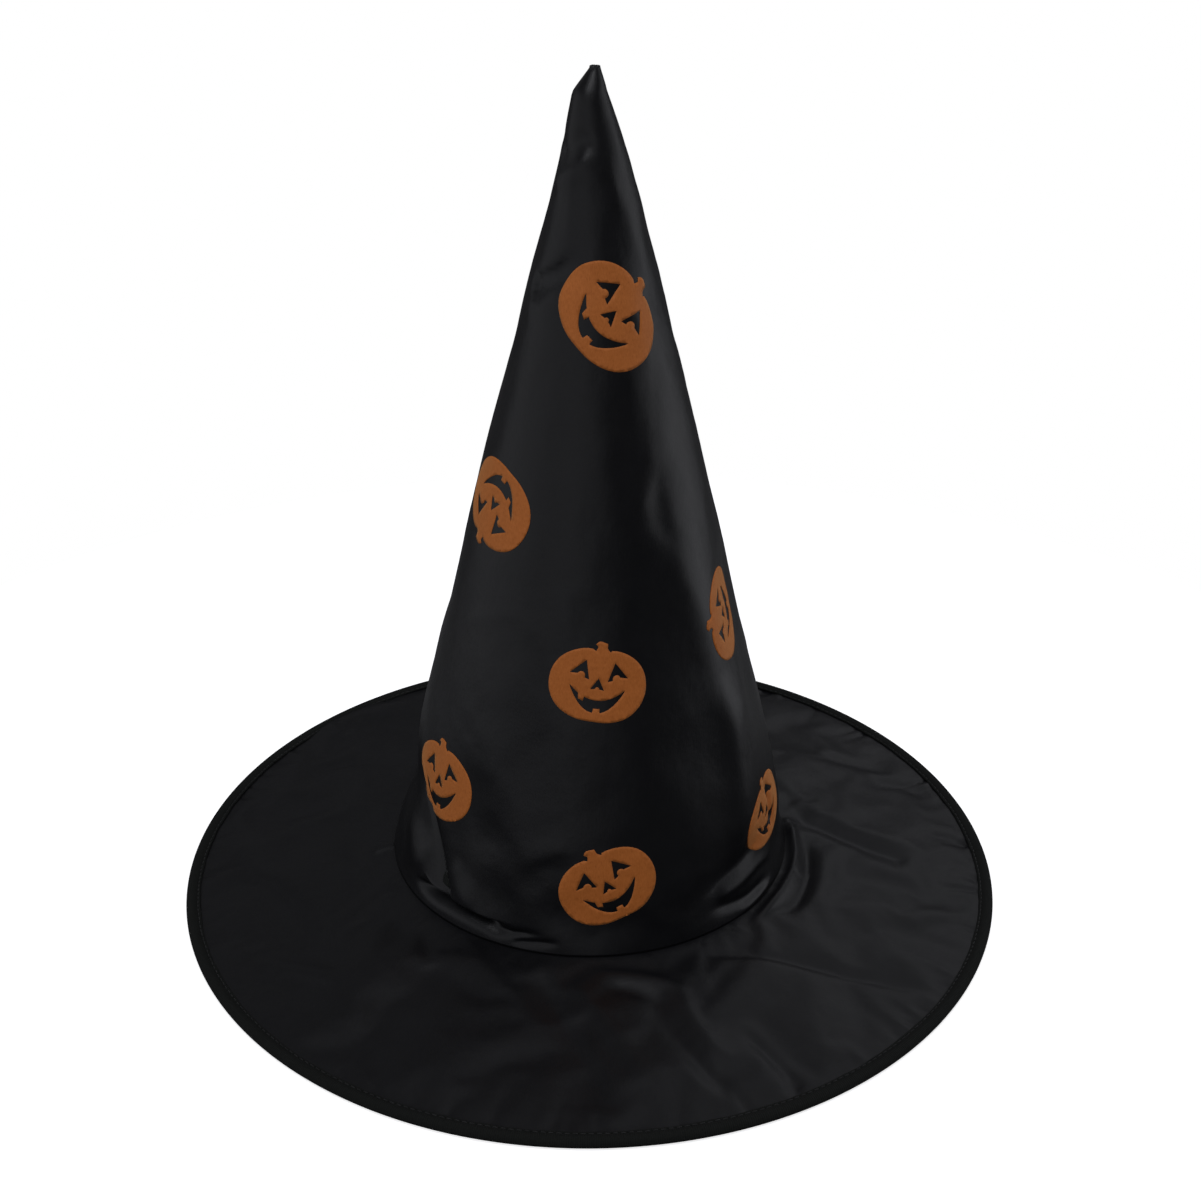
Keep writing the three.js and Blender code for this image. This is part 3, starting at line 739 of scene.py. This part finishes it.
def woven_tape():
    """Ribs run across the tape, which is u; v is across its width."""
    shader = Shader("woven_tape", Specular_IOR_Level=0.15)
    cloth = shader.cloth()
    ribs = shader.wave(cloth, "X", THREADS_PER_WAVE * 1.15, 0.6)
    picks = shader.wave(cloth, "Y", THREADS_PER_WAVE * 2.6, 0.8)
    weave = shader.math("MULTIPLY", shader.math("ADD", ribs, 0.25), shader.math("ADD", picks, 0.35))
    fluff = shader.noise(cloth, 1.3, 5.0, 0.7)
    normal = shader.bump(weave, 0.22, 0.9, shader.bump(fluff, 0.12, 0.5))
    blacks = ((0.2, (0.0045, 0.0052, 0.0045)), (0.8, (0.0150, 0.0162, 0.0148)))
    return shader.finish(normal, shader.blend(weave, fluff, 0.5), blacks, (0.68, 0.9), fluff)


def interlining():
    shader = Shader("interlining", Specular_IOR_Level=0.15, Sheen_Weight=0.1)
    cloth = shader.cloth()
    fibres = shader.noise(cloth, 1.6, 6.0, 0.75)
    dots = shader.node("ShaderNodeTexVoronoi", {"Vector": cloth, "Scale": 0.55}).outputs["Distance"]
    tone = shader.math("MULTIPLY", fibres, shader.between(dots, 0.75, 1.25))
    greys = ((0.3, (0.010, 0.010, 0.0105)), (0.75, (0.034, 0.034, 0.035)))
    return shader.finish(shader.bump(tone, 0.16, 0.8), tone, greys, (0.8, 1.0), fibres)


def thread():
    shader = Shader("sewing_thread", Specular_IOR_Level=0.4, Sheen_Weight=0.1)
    twist = shader.wave(shader.solid(), "DIAGONAL", THREADS_PER_WAVE * 4.0, 0.5)
    blacks = ((0.1, (0.003, 0.003, 0.0032)), (0.9, (0.012, 0.012, 0.013)))
    return shader.finish(shader.bump(twist, 0.06, 0.8), twist, blacks, (0.45, 0.65))


def spring_steel():
    shader = Shader("spring_steel", Metallic=1.0)
    where = shader.solid()
    drawn = shader.noise(where, 2.2, 5.0, 0.7)
    stain = shader.noise(where, 0.12, 3.0, 0.5)
    greys = ((0.35, (0.26, 0.25, 0.24)), (0.65, (0.45, 0.455, 0.46)))
    return shader.finish(shader.bump(drawn, 0.02, 0.6), stain, greys, (0.25, 0.5), drawn)


def label_satin():
    shader = Shader("label_satin", Specular_IOR_Level=0.45, Sheen_Weight=0.1)
    cloth = shader.cloth()
    ribs = shader.wave(cloth, "X", THREADS_PER_WAVE * 3.4, 0.3)
    mottle = shader.noise(cloth, 0.25, 4.0, 0.6)
    creams = ((0.3, (0.66, 0.65, 0.61)), (0.7, (0.80, 0.79, 0.755)))
    normal = shader.bump(ribs, 0.04, 0.6, shader.bump(mottle, 0.2, 0.4))
    return shader.finish(normal, mottle, creams, (0.4, 0.6))


# ---- Camera, lights and floor ----

CAMERA_PLACE = (0.00507, -0.6616, 0.4753)
CAMERA_TILT = 63.054  # degrees up from looking straight down
LAMP_COLOUR = (0.97, 0.98, 1.03)


def make_camera():
    data = bpy.data.cameras.new("camera")
    data.lens, data.sensor_width = 50.0, 36.0
    data.clip_start, data.clip_end = 0.01, 50.0
    camera = bpy.data.objects.new("camera", data)
    camera.location = CAMERA_PLACE
    camera.rotation_euler = (math.radians(CAMERA_TILT), 0.0, 0.0)
    bpy.context.scene.collection.objects.link(camera)
    bpy.context.scene.camera = camera


def softbox(name, azimuth, elevation, distance, size, radiance, target=(0.0, 0.0, 0.15)):
    """A rectangular light that faces the target; its power follows from how bright its face is."""
    data = bpy.data.lights.new(name, "AREA")
    data.shape = "RECTANGLE"
    data.size, data.size_y = size
    data.energy = radiance * math.pi * size[0] * size[1]
    data.color = LAMP_COLOUR
    lamp = bpy.data.objects.new(name, data)
    turn, rise = math.radians(azimuth), math.radians(elevation)
    aim = Vector((math.cos(turn) * math.cos(rise), math.sin(turn) * math.cos(rise), math.sin(rise)))
    lamp.location = Vector(target) + aim * distance
    lamp.rotation_mode = "QUATERNION"
    lamp.rotation_quaternion = aim.to_track_quat("Z", "Y")
    lamp.visible_camera = False
    bpy.context.scene.collection.objects.link(lamp)


def make_studio():
    softbox("front_top", -96, 62, 2.4, (1.6, 1.6), 3.0)
    softbox("right_softbox", 6, 2, 1.7, (1.5, 1.6), 1.0)
    softbox("left_softbox", 190, 9, 1.8, (2.6, 1.7), 0.49)
    softbox("front_fill", 252, 9, 2.0, (1.6, 1.5), 0.50)
    softbox("back_softbox", 54, 34, 1.9, (1.5, 0.9), 0.8)
    softbox("back_fill", 122, 30, 2.0, (1.3, 1.1), 0.13)
    softbox("top_strip", 70, 70, 2.0, (1.3, 0.5), 0.7)
    world = bpy.data.worlds.new("studio")
    world.use_nodes = True
    bpy.context.scene.world = world
    nodes, links = world.node_tree.nodes, world.node_tree.links
    background = nodes["Background"]
    seen = nodes.new("ShaderNodeLightPath")
    mix = nodes.new("ShaderNodeMix")
    mix.data_type = "RGBA"
    mix.inputs["A"].default_value = (0.06, 0.06, 0.063, 1.0)
    mix.inputs["B"].default_value = (1.0, 1.0, 1.0, 1.0)
    links.new(seen.outputs["Is Camera Ray"], mix.inputs["Factor"])
    links.new(mix.outputs["Result"], background.inputs["Color"])


def make_floor():
    """A pale disc below the hat. It can be looked through from underneath, and its part that the hat covers
    gives off a little light, so that the hat's underside can be seen."""
    radius, level, corners = 480.0, -0.3, 96
    vertices = np.vstack([[0.0, 0.0, level], around(radius, all_round(corners), level)])
    index = np.arange(corners)
    floor = mesh_piece("floor", vertices, np.column_stack([0 * index, index + 1, (index + 1) % corners + 1]))
    shader = Shader("floor", Roughness=0.9, Specular_IOR_Level=0.1, Base_Color=(0.86, 0.86, 0.86, 1.0),
                    Emission_Color=(1.0, 1.0, 1.0, 1.0), Emission_Strength=0.72)
    seen = shader.node("ShaderNodeLightPath").outputs["Is Camera Ray"]
    dull = shader.node("ShaderNodeBsdfDiffuse", {"Color": (0.2, 0.2, 0.2, 1.0)}).outputs[0]
    where = shader.node("ShaderNodeTexCoord").outputs["Object"]
    away = shader.node("ShaderNodeVectorMath", {0: where}, operation="LENGTH").outputs["Value"]
    covered = shader.math("LESS_THAN", away, (BRIM_RADIUS - 6.0) * METRE)
    glow = shader.node("ShaderNodeEmission", {"Color": (1.0, 1.0, 1.0, 1.0), "Strength": 0.9}).outputs[0]
    unseen = shader.node("ShaderNodeMixShader", {0: covered, 1: dull, 2: glow}).outputs[0]
    face = shader.node("ShaderNodeMixShader", {0: seen, 1: unseen, 2: shader.surface.outputs[0]}).outputs[0]
    below = shader.node("ShaderNodeNewGeometry").outputs["Backfacing"]
    clear = shader.node("ShaderNodeBsdfTransparent").outputs[0]
    mix = shader.node("ShaderNodeMixShader", {0: below, 1: face, 2: clear}).outputs[0]
    output = next(node for node in shader.tree.nodes if node.type == "OUTPUT_MATERIAL")
    shader.tree.links.new(mix, output.inputs["Surface"])
    floor.data.materials.append(shader.material)


make_camera()
make_studio()
make_floor()
bpy.context.scene.view_settings.view_transform = "Standard"

SATIN, BRIM_SATIN = satin("black_satin", (0.30, 0.40)), satin("creased_satin", (0.37, 0.50))
INK, TAPE, LINING = ink(), woven_tape(), interlining()
THREAD, STEEL, LABEL = thread(), spring_steel(), label_satin()


# ---- Crown ----

def crown_columns(heights):
    """Azimuths of the crown's grid, (rows, columns), close together at the front and beside the back seam."""
    seam = np.array([0.0, 0.35, 0.8, 1.5, 2.6, 4.2])
    widest = np.arange(len(seam)) * 6.0  # degrees, the farthest from the seam that they stand near the tip
    front_half, back_half = 108, 38
    back_shares = np.linspace(0.0, 0.5, back_half, endpoint=False)[1:]
    share = np.concatenate([back_shares, np.linspace(0.5, 1.0, front_half + 1)])
    beside = np.minimum(np.degrees(seam / crown_radius(heights)[:, None]), widest)
    first = beside[:, -1:]
    half = np.hstack([beside, first + (180.0 - first) * share])
    other = 360.0 - half[:, 1:-1][:, ::-1]
    return BACK + np.hstack([half, other])


LAST_HEIGHT = TIP - 1.2  # where the cone ends and the gathered tip is shut
TIP_RINGS = ((0.86, 0.75), (0.55, 1.0), (0.2, 1.05))  # share of the last row's width, and height above it


def crown_heights():
    """Rows of the crown's grid, closest together over the folds of its foot."""
    stretches = (
        (FOOT, 32.5, 0.75), (33.5, 66.0, 1.1), (66.0, 200.0, 2.7), (200.0, 318.0, 2.6),
        (318.0, TIP - 2.0, 1.8),
    )
    return np.concatenate([*(np.arange(*stretch) for stretch in stretches), [LAST_HEIGHT]])


def make_crown():
    heights = crown_heights()
    azimuths = crown_columns(heights)
    levels = np.broadcast_to(heights[:, None], azimuths.shape)
    outer, inner = crown_point(azimuths, levels), crown_point(azimuths, levels, -CLOTH)
    uv = np.stack(unrolled(from_front(azimuths), levels), axis=-1)
    # The tip is gathered into a small puckered end.
    end_outer, end_inner, end_uv = [], [], []
    middle = outer[-1].mean(axis=0)
    gather = 0.10 * crumple(azimuths[-1], 0.0, 9.0)
    for share, lift in TIP_RINGS:
        for rows, source, drop in ((end_outer, outer, 0.0), (end_inner, inner, 1.2)):
            ring = middle + (source[-1] - middle) * (share * (1.0 + gather))[:, None]
            ring[:, 2] = LAST_HEIGHT + lift - drop + 1.2 * gather
            rows.append(ring)
        end_uv.append(uv[-1] * share)
    outer, inner = np.concatenate([outer, end_outer]), np.concatenate([inner, end_inner])
    uv = np.concatenate([uv, end_uv])
    vertices, faces = doubled(outer, inner)
    # The last ring of each face is shut with quads across it.
    size, columns = len(outer) * len(outer[0]), len(outer[0])
    index = np.arange(columns // 2 - 1)
    cap = np.column_stack([index, index + 1, columns - 2 - index, columns - 1 - index])
    faces = np.concatenate([faces[:-columns], cap + size - columns, cap[:, ::-1] + 2 * size - columns])
    piece = mesh_piece("crown_satin", vertices, faces, np.concatenate([uv, uv]))
    place(piece, "hat", "satin", SATIN, "crown_cloth")


def make_interlining():
    outer_gap, inner_gap = 0.65, 1.35  # from the satin's outer face
    heights = np.concatenate([
        np.arange(FOOT, 66.0, 1.5), np.arange(66.0, INTERLINING_TOP, 4.5), [INTERLINING_TOP],
    ])
    azimuths = crown_columns(heights)[:, ::2]
    levels = np.broadcast_to(heights[:, None], azimuths.shape)
    outer, inner = crown_point(azimuths, levels, -outer_gap), crown_point(azimuths, levels, -inner_gap)
    uv = np.stack(unrolled(from_front(azimuths), levels), axis=-1)
    piece = sheet_piece("crown_interlining_cone", outer, inner, uv)
    place(piece, "hat", "interlining", LINING, "crown_interlining")


# ---- Prints ----

def edge_points(corners, spacing):
    """The outline through the corners, with extra points along its straight edges."""
    corners = np.asarray(corners, float)
    points = []
    for start, end in zip(corners, np.roll(corners, -1, axis=0)):
        count = max(1, int(round(np.hypot(*(end - start)) / spacing)))
        points.extend(start + (end - start) * t for t in np.arange(count) / count)
    return np.array(points)


def inside(points, outline):
    """Whether each point lies inside the outline."""
    x, y = points[:, :1], points[:, 1:]
    x1, y1 = outline.T
    x2, y2 = np.roll(outline, -1, axis=0).T
    crosses = (y1[None] > y) != (y2[None] > y)
    slope = (x2 - x1) / np.where(y2 == y1, 1e-12, y2 - y1)
    return (crosses & (x < x1[None] + slope[None] * (y - y1[None]))).sum(axis=1) % 2 == 1


def arc_points(centre, radius, start, end, count):
    turn = np.radians(np.linspace(start, end, count))
    return np.column_stack([centre[0] + radius * np.cos(turn), centre[1] + radius * np.sin(turn)])


def pumpkin_outlines():
    """A pumpkin of width 1: its outside with a stem, and the cut-outs of its face."""
    half_height, stem_gap = 0.39, 11.0
    turn = np.radians(np.linspace(90 + stem_gap, 450 - stem_gap, 64))
    across = np.cos(turn) / 2
    dip = 1 - np.where(np.sin(turn) > 0, 0.085, 0.02) * np.exp(-((across / 0.11) ** 2))
    squareness = 1 + 0.035 * np.sin(2 * turn) ** 2
    body = np.column_stack([across * squareness, half_height * dip * squareness * np.sin(turn)])
    stem = through([(0.085, 0.352), (0.052, 0.385), (0.045, 0.436)], 4)
    top = through([(0.045, 0.436), (-0.035, 0.452), (-0.075, 0.418)], 3)[1:]
    back = through([(-0.075, 0.418), (-0.048, 0.392), (-0.065, 0.35)], 3)[1:]
    outside = np.vstack([body, stem, top, back])
    eye = np.vstack([[(0.145, 0.25), (0.094, 0.05)], [(0.142, 0.066)],
                     arc_points((0.180, 0.088), 0.040, 205, 25, 9), [(0.30, 0.10)]])
    nose = np.vstack([[(0.0, 0.078), (-0.072, -0.05)], [(-0.022, -0.04)],
                      arc_points((0.0, -0.040), 0.022, 180, 0, 6), [(0.072, -0.05)]])

    def upper(x):
        return -0.160 + 0.14 * (x / 0.285) ** 2

    def lower(x):
        return -0.292 + 0.262 * np.abs(x / 0.285) ** 2.2

    down = [(x, upper(x)) for x in np.linspace(0.285, -0.12, 12)]
    tooth_down = [(-0.128, -0.182), (-0.180, -0.160), (-0.186, upper(-0.186))]
    left = [(x, upper(x)) for x in np.linspace(-0.2, -0.285, 4)]
    right = [(x, lower(x)) for x in np.linspace(-0.272, -0.018, 9)]
    tooth_up = [(-0.012, -0.246), (0.052, -0.242), (0.058, lower(0.058))]
    back_up = [(x, lower(x)) for x in np.linspace(0.075, 0.272, 8)]
    mouth = np.array([*down, *tooth_down, *left, *right, *tooth_up, *back_up])
    mirrored = (eye * (-1, 1))[::-1]
    return outside, [eye, mirrored, nose, mouth]


def within(points, outlines):
    """Whether each point lies inside the first outline and outside the others."""
    kept = inside(points, outlines[0])
    for hole in outlines[1:]:
        kept &= ~inside(points, hole)
    return kept


def flat_print(width):
    """Points and triangles of one print, laid flat, in millimetres."""
    outside, holes = pumpkin_outlines()
    spacing = 1.15
    outlines = [edge_points(outline * width, spacing) for outline in (outside, *holes)]
    low, high = outlines[0].min(axis=0), outlines[0].max(axis=0)
    step = spacing * 1.1
    rows = np.arange(low[1], high[1], step * 0.87)
    lattice = np.array([(x + (k % 2) * step / 2, y) for k, y in enumerate(rows)
                        for x in np.arange(low[0], high[0], step)])
    lattice = lattice[within(lattice, outlines)]
    border = np.vstack(outlines)
    gap = np.sqrt(((lattice[:, None] - border[None]) ** 2).sum(axis=2)).min(axis=1)
    lattice = lattice[gap > spacing * 0.55]
    points = [Vector(point) for point in np.vstack([border, lattice])]
    edges, start = [], 0
    for outline in outlines:
        count = len(outline)
        edges.extend((start + i, start + (i + 1) % count) for i in range(count))
        start += count
    made, _, triangles, *_ = delaunay_2d_cdt(points, edges, [], 0, 1e-5)
    made = np.array([tuple(point) for point in made])
    triangles = np.array(triangles)
    return made, triangles[within(made[triangles].mean(axis=1), outlines)]


INK_GAP, INK_TOP = 0.02, 0.14  # the ink's two faces, above the satin


def make_print(number, azimuth, height, lean, flat):
    points, triangles = flat
    used, triangles = np.unique(triangles, return_inverse=True)
    triangles = triangles.reshape(-1, 3)
    turn = math.radians(-lean)
    spin = np.array([[math.cos(turn), math.sin(turn)], [-math.sin(turn), math.cos(turn)]])
    x, y = (points[used] @ spin).T
    apex = crown_radius(height) / math.sin(SLOPE)
    where = azimuth + np.degrees(np.arctan2(x, apex - y)) / math.sin(SLOPE)
    level = height + (apex - np.hypot(x, apex - y)) * math.cos(SLOPE)
    vertices = np.vstack([crown_point(where, level, INK_TOP), crown_point(where, level, INK_GAP)])
    count = len(used)
    sides = np.concatenate([triangles[:, [0, 1]], triangles[:, [1, 2]], triangles[:, [2, 0]]])
    known = set(map(tuple, sides))
    start, end = np.array([(a, b) for a, b in sides if (b, a) not in known]).T
    wall = [np.column_stack([end, start, start + count]), np.column_stack([end, start + count, end + count])]
    faces = np.concatenate([triangles, triangles[:, ::-1] + count, *wall])
    uv = np.column_stack(unrolled(from_front(where), level))
    piece = mesh_piece(f"pumpkin_{number}", vertices, faces, np.concatenate([uv, uv]))
    place(piece, "hat", "print_ink", INK, f"pumpkin_print_{number}")


def make_prints():
    widths = {width for *_, width in PRINTS}
    flats = {width: flat_print(width) for width in widths}
    for number, (azimuth, height, lean, width) in enumerate(PRINTS, 1):
        make_print(number, azimuth, height, lean, flats[width])


# ---- Brim ----

BRIM_COLUMNS = 720


def make_brim_top():
    radii = np.concatenate([[BRIM_INNER], np.linspace(HEAD_RADIUS - 0.6, 104.0, 9),
                            np.linspace(105.6, 168.0, 36), np.linspace(169.2, CLOTH_EDGE, 13)])
    azimuth, radius, start = brim_grid(radii, BRIM_COLUMNS)
    upper = start + settled_shift(azimuth, radius)
    piece = sheet_piece("brim_satin_top", upper, upper - (0.0, 0.0, BRIM_CLOTH), start[..., :2])
    place(piece, "hat", "satin", BRIM_SATIN, "brim_top_cloth")


def make_brim_under():
    gap, least_gap = 0.75, 0.05  # below the upper cloth
    radii = np.concatenate([np.linspace(BRIM_INNER, 104.0, 6), np.linspace(108.0, 168.0, 16),
                            np.linspace(171.0, CLOTH_EDGE, 8)])
    radius, azimuth = np.broadcast_arrays(radii[:, None], all_round(BRIM_COLUMNS // 2)[None])
    turn = np.radians(azimuth)
    x, y = radius * np.cos(turn), radius * np.sin(turn)
    over = brim_relief(azimuth, radius) + settled_shift(azimuth, radius)[..., 2]
    inward = BINDING_INNER - radius
    held = smooth(inward / 18.0) * smooth((radius - HEAD_RADIUS) / 14.0)
    sag = 1.1 * np.sin(np.clip(inward / (BINDING_INNER - HEAD_RADIUS), 0, 1) * math.pi)
    own = held * (0.7 * swell.layered(x + 500.0, y, 44.0, 3) - sag)
    own += rim_puckers(azimuth, radius, UNDER_PUCKERS)
    level = brim_base(radius) - gap + np.minimum(own, over - least_gap)
    upper = np.stack([x, y, level], axis=-1)
    piece = sheet_piece("brim_satin_under", upper, upper - (0.0, 0.0, BRIM_CLOTH), np.stack([x, -y], axis=-1))
    place(piece, "hat", "satin", BRIM_SATIN, "brim_under_cloth")


# ---- Binding and its hoop ----

BINDING_PITCH = 3.1  # from one stitch to the next


def binding_profile():
    """The tape's section, (radius, height above its middle): its outside from the upper inner edge round to
    the lower one, then its inside back again."""
    inner, seam, rim = BINDING_INNER, STITCH_RADIUS, BRIM_RADIUS
    outside = through([
        (inner, 0.95), (inner + 0.25, 1.5), (inner + 0.75, 1.62), (seam + 0.05, 1.22), (seam + 0.75, 1.75),
        (rim - 3.4, 2.22), (rim - 2.0, 2.25), (rim - 0.65, 1.5), (rim, 0.0), (rim - 0.65, -1.5),
        (rim - 2.0, -2.2), (rim - 3.4, -2.15), (seam + 0.75, -1.75), (seam + 0.05, -1.35),
        (inner + 0.75, -1.62), (inner + 0.25, -1.5), (inner, -1.0),
    ], 3)
    inside_line = through([
        (inner + 0.05, -0.9), (seam + 0.3, -0.9), (rim - 3.6, -1.35), (rim - 1.2, -0.9), (rim - 0.75, 0.0),
        (rim - 1.2, 0.9), (rim - 3.6, 1.35), (seam + 0.3, 0.85), (inner + 0.05, 0.85),
    ], 3)
    return outside, inside_line


def make_binding():
    outside, inside_line = binding_profile()
    profile = np.vstack([outside, inside_line])
    rows, columns = len(profile), 1152
    azimuths = all_round(columns)
    arc = np.radians(azimuths) * BRIM_RADIUS
    is_outside = (np.arange(rows) < len(outside)).astype(float)[:, None]
    radius, level = profile[:, :1], profile[:, 1:]
    # Each stitch pulls the tape down a little, and the tape puffs up between two of them.
    puff = 0.16 * np.cos(arc / BINDING_PITCH * 2 * math.pi)
    rise = puff * bell(radius, STITCH_RADIUS, 0.9) * is_outside * np.sign(level)
    # The hand-guided tape wavers in width and stands a little proud where its ends lap, at the back.
    waver = crumple(arc, 0.0, 9.0) * 0.16 + crumple(arc, 70.0, 2.6) * 0.07
    lap = smooth((azimuths - 86.6) / 0.15) * smooth((90.4 - azimuths) / 0.15)
    proud = is_outside * (0.3 * lap + 0.07 * waver)
    outward = profile - (BRIM_RADIUS - 3.4, 0.0)
    outward /= np.linalg.norm(outward, axis=1, keepdims=True) + 1e-6
    ring_radius = radius + 1.6 * bell(radius, BINDING_INNER, 1.1) * waver + 0.6 * proud * outward[:, :1]
    ring_level = BINDING_TOP / 2 + level + rise + proud * np.maximum(outward[:, 1:], 0.0)
    sections = around(ring_radius, azimuths, np.maximum(ring_level, 0.02))
    faces = grid_faces(columns, rows + 1) % (rows * columns)  # the last row meets the first
    steps = np.hypot(*np.diff(profile, axis=0, prepend=profile[:1]).T)
    uv = np.stack(np.meshgrid(arc, np.cumsum(steps)), axis=-1)
    piece = mesh_piece("binding_tape", sections[::-1], faces, uv[::-1])
    place(piece, "hat", "woven_tape", TAPE, "brim_binding")


def binding_stitches(name, node, level, up):
    count = int(2 * math.pi * STITCH_RADIUS / BINDING_PITCH)
    radial = around(1.0, all_round(count), 0.0)
    wobble = 0.09 * Noise(31)(np.arange(count), 0.0, 1.0)
    centre = radial * (STITCH_RADIUS + wobble)[:, None] + (0.0, 0.0, level)
    ahead = unit(np.cross((0.0, 0.0, 1.0), radial) + 0.05 * radial)
    normal = np.tile([0.0, 0.0, up], (count, 1))
    piece = stitch_run(name, centre, normal, ahead, BINDING_PITCH * 0.86, 0.4)
    place(piece, "hat", "thread", THREAD, node)


# ---- Inside the crown ----

SEAM_SIDE, SEAM_DEPTH = BACK + 3.0, 2.3  # where the wall beside the seam is measured, and how far inside it


def make_seam_allowance():
    """The turned-in edges of the cone's cloth, two leaves that lie together over the interlining."""
    heights = np.arange(ALLOWANCE_LOW, ALLOWANCE_HIGH, 2.2)
    wave = 0.35 * crumple(heights, 0.0, 14.0)
    wall = crown_point(SEAM_SIDE, heights, -SEAM_DEPTH)[:, 1]
    section = []
    for share, depth in ((-1.0, 0.7), (-1.0, 0.2), (0.0, 0.0), (1.0, 0.25), (1.0, 0.75), (0.96, 1.15),
                         (0.0, 0.95), (-0.96, 1.1)):
        ripple = wave * share * (np.sign(share) + 1.3) / 2
        y = wall - depth - 0.25 * np.abs(ripple) - 0.15 * abs(share)
        section.append(np.column_stack([share * ALLOWANCE_HALF + ripple, y, heights]))
    rows, sides = len(heights), len(section)
    end = np.array([[0, 1, 2, 7], [7, 2, 3, 6], [6, 3, 4, 5]])
    faces = np.vstack([grid_faces(sides, rows), end[:, ::-1], end + sides * (rows - 1)])
    uv = np.stack(np.meshgrid(np.linspace(0.0, 4 * ALLOWANCE_HALF, sides), heights), axis=-1)
    piece = mesh_piece("back_seam_allowance", np.array(section).transpose(1, 0, 2), faces, uv)
    place(piece, "hat", "satin", SATIN, "crown_seam_allowance")


def make_overlock():
    """Overlock stitches: a close zigzag of thread over the free face of the seam's turned-in edges."""
    pitch = 2.4
    reach = ALLOWANCE_HALF - 0.5
    points = []
    for i, height in enumerate(np.arange(ALLOWANCE_LOW + 1.5, ALLOWANCE_HIGH - 1.5, pitch / 2)):
        x = reach if i % 2 else -reach
        wall = crown_point(SEAM_SIDE, height, -SEAM_DEPTH)[1]
        points.append((x, wall - 1.25, height))
        points.append((x * 1.02, wall - 1.05, height + pitch * 0.12))
    piece = mesh_piece("back_seam_overlock", *tube(through(points, 3), 0.2, 6))
    place(piece, "hat", "thread", THREAD, "crown_seam_overlock")


TAPE_PITCH = 3.0  # from one stitch to the next
TAPE_STITCH_INSET = 1.5  # of the upper stitches, from the tape's edge


def make_head_tape():
    """A ribbed tape over the seam of crown and brim, stitched along both edges."""
    heights = np.concatenate([[TAPE_LOW], np.linspace(TAPE_LOW + 0.5, TAPE_HIGH - 0.5, 22), [TAPE_HIGH]])
    azimuths, levels = np.meshgrid(all_round(480), heights)
    arc = np.radians(azimuths) * HEAD_RADIUS
    free = smooth((levels - TAPE_LOW) / 5) * smooth((TAPE_HIGH - levels) / 5)
    slack = 0.25 * free * crumple(arc, levels, 16.0)
    between = (1 - np.cos(arc / TAPE_PITCH * 2 * math.pi)) / 2
    nip = 0.12 * between * bell(levels, TAPE_HIGH - TAPE_STITCH_INSET, 0.8)
    outer = crown_point(azimuths, np.maximum(levels, FOOT), -1.75)
    inner = crown_point(azimuths, np.maximum(levels, FOOT), -2.55 - np.abs(slack) + nip)
    outer[..., 2], inner[..., 2] = levels, levels
    piece = sheet_piece("head_tape_band", outer, inner, np.stack([arc, levels], axis=-1))
    place(piece, "hat", "woven_tape", TAPE, "head_tape")


def tape_stitches(name, node, height, depth):
    beside = 0.8  # degrees
    count = int(2 * math.pi * (HEAD_RADIUS - 5) / TAPE_PITCH)
    azimuths = all_round(count)
    centre, after, before = (crown_point(azimuths + turn, height, -depth) for turn in (0.0, beside, -beside))
    ahead = unit(after - before)
    normal = -around(1.0, azimuths, 0.0)
    normal = unit(normal - (normal * ahead).sum(axis=1, keepdims=True) * ahead)
    piece = stitch_run(name, centre, normal, ahead, TAPE_PITCH * 0.8, 0.38)
    place(piece, "hat", "thread", THREAD, node)


def make_label():
    """A blank ribbon label: heat-cut sides, a folded top that the tape's stitches hold, and a slight curl."""
    low, high = box_mm("care_label")
    x, z = np.meshgrid(np.linspace(low[0], high[0], 15), np.linspace(high[2], low[2], 19))
    fall = (high[2] - z) / (high[2] - low[2])
    hollow = 0.30 * np.sin(fall * math.pi) * np.cos(x / 12.0 * math.pi / 2)
    curl = 0.15 + 1.25 * fall**1.6 - hollow + 0.25 * fall * np.sin(x * 0.35 + 0.6)
    face = (low[1] + high[1]) / 2 - curl
    thick = 0.14 + 0.1 * bell(np.abs(x), 11.7, 0.4) + 0.14 * bell(fall, 0.0, 0.06)
    sides = [np.stack([x, face - thick, z], axis=-1), np.stack([x, face + thick, z], axis=-1)]
    rows, columns = x.shape
    index = np.arange(x.size).reshape(rows, columns)
    edge = np.concatenate([index[0], index[1:, -1], index[-1, -2::-1], index[-2:0:-1, 0]])
    after = np.roll(edge, -1)
    faces = [grid_faces(columns, rows, wraps=False, flip=True),
             grid_faces(columns, rows, wraps=False, start=x.size),
             np.column_stack([edge, after, after + x.size, edge + x.size])]
    uv = np.concatenate([np.stack([x, z], axis=-1)] * 2)
    piece = mesh_piece("blank_care_label", np.concatenate(sides), np.concatenate(faces), uv)
    place(piece, "label", "label_satin", LABEL, "care_label")


make_crown()
make_prints()
make_brim_top()
make_brim_under()
make_binding()
binding_stitches("binding_stitches_upper", "binding_needle_thread", BINDING_TOP / 2 + 1.30, 1.0)
binding_stitches("binding_stitches_lower", "binding_bobbin_thread", BINDING_TOP / 2 - 1.42, -1.0)
make_interlining()
make_seam_allowance()
make_overlock()
make_head_tape()
tape_stitches("seam_stitches", "head_seam_thread", FOOT + 2.0, 2.72)
tape_stitches("tape_stitches_upper", "head_tape_upper_thread", TAPE_HIGH - TAPE_STITCH_INSET, 2.72)
make_label()
for name in ("hoop_wire", "hoop_ferrule"):
    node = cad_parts[name]
    node.data.materials.clear()
    node.data.materials.append(STEEL)
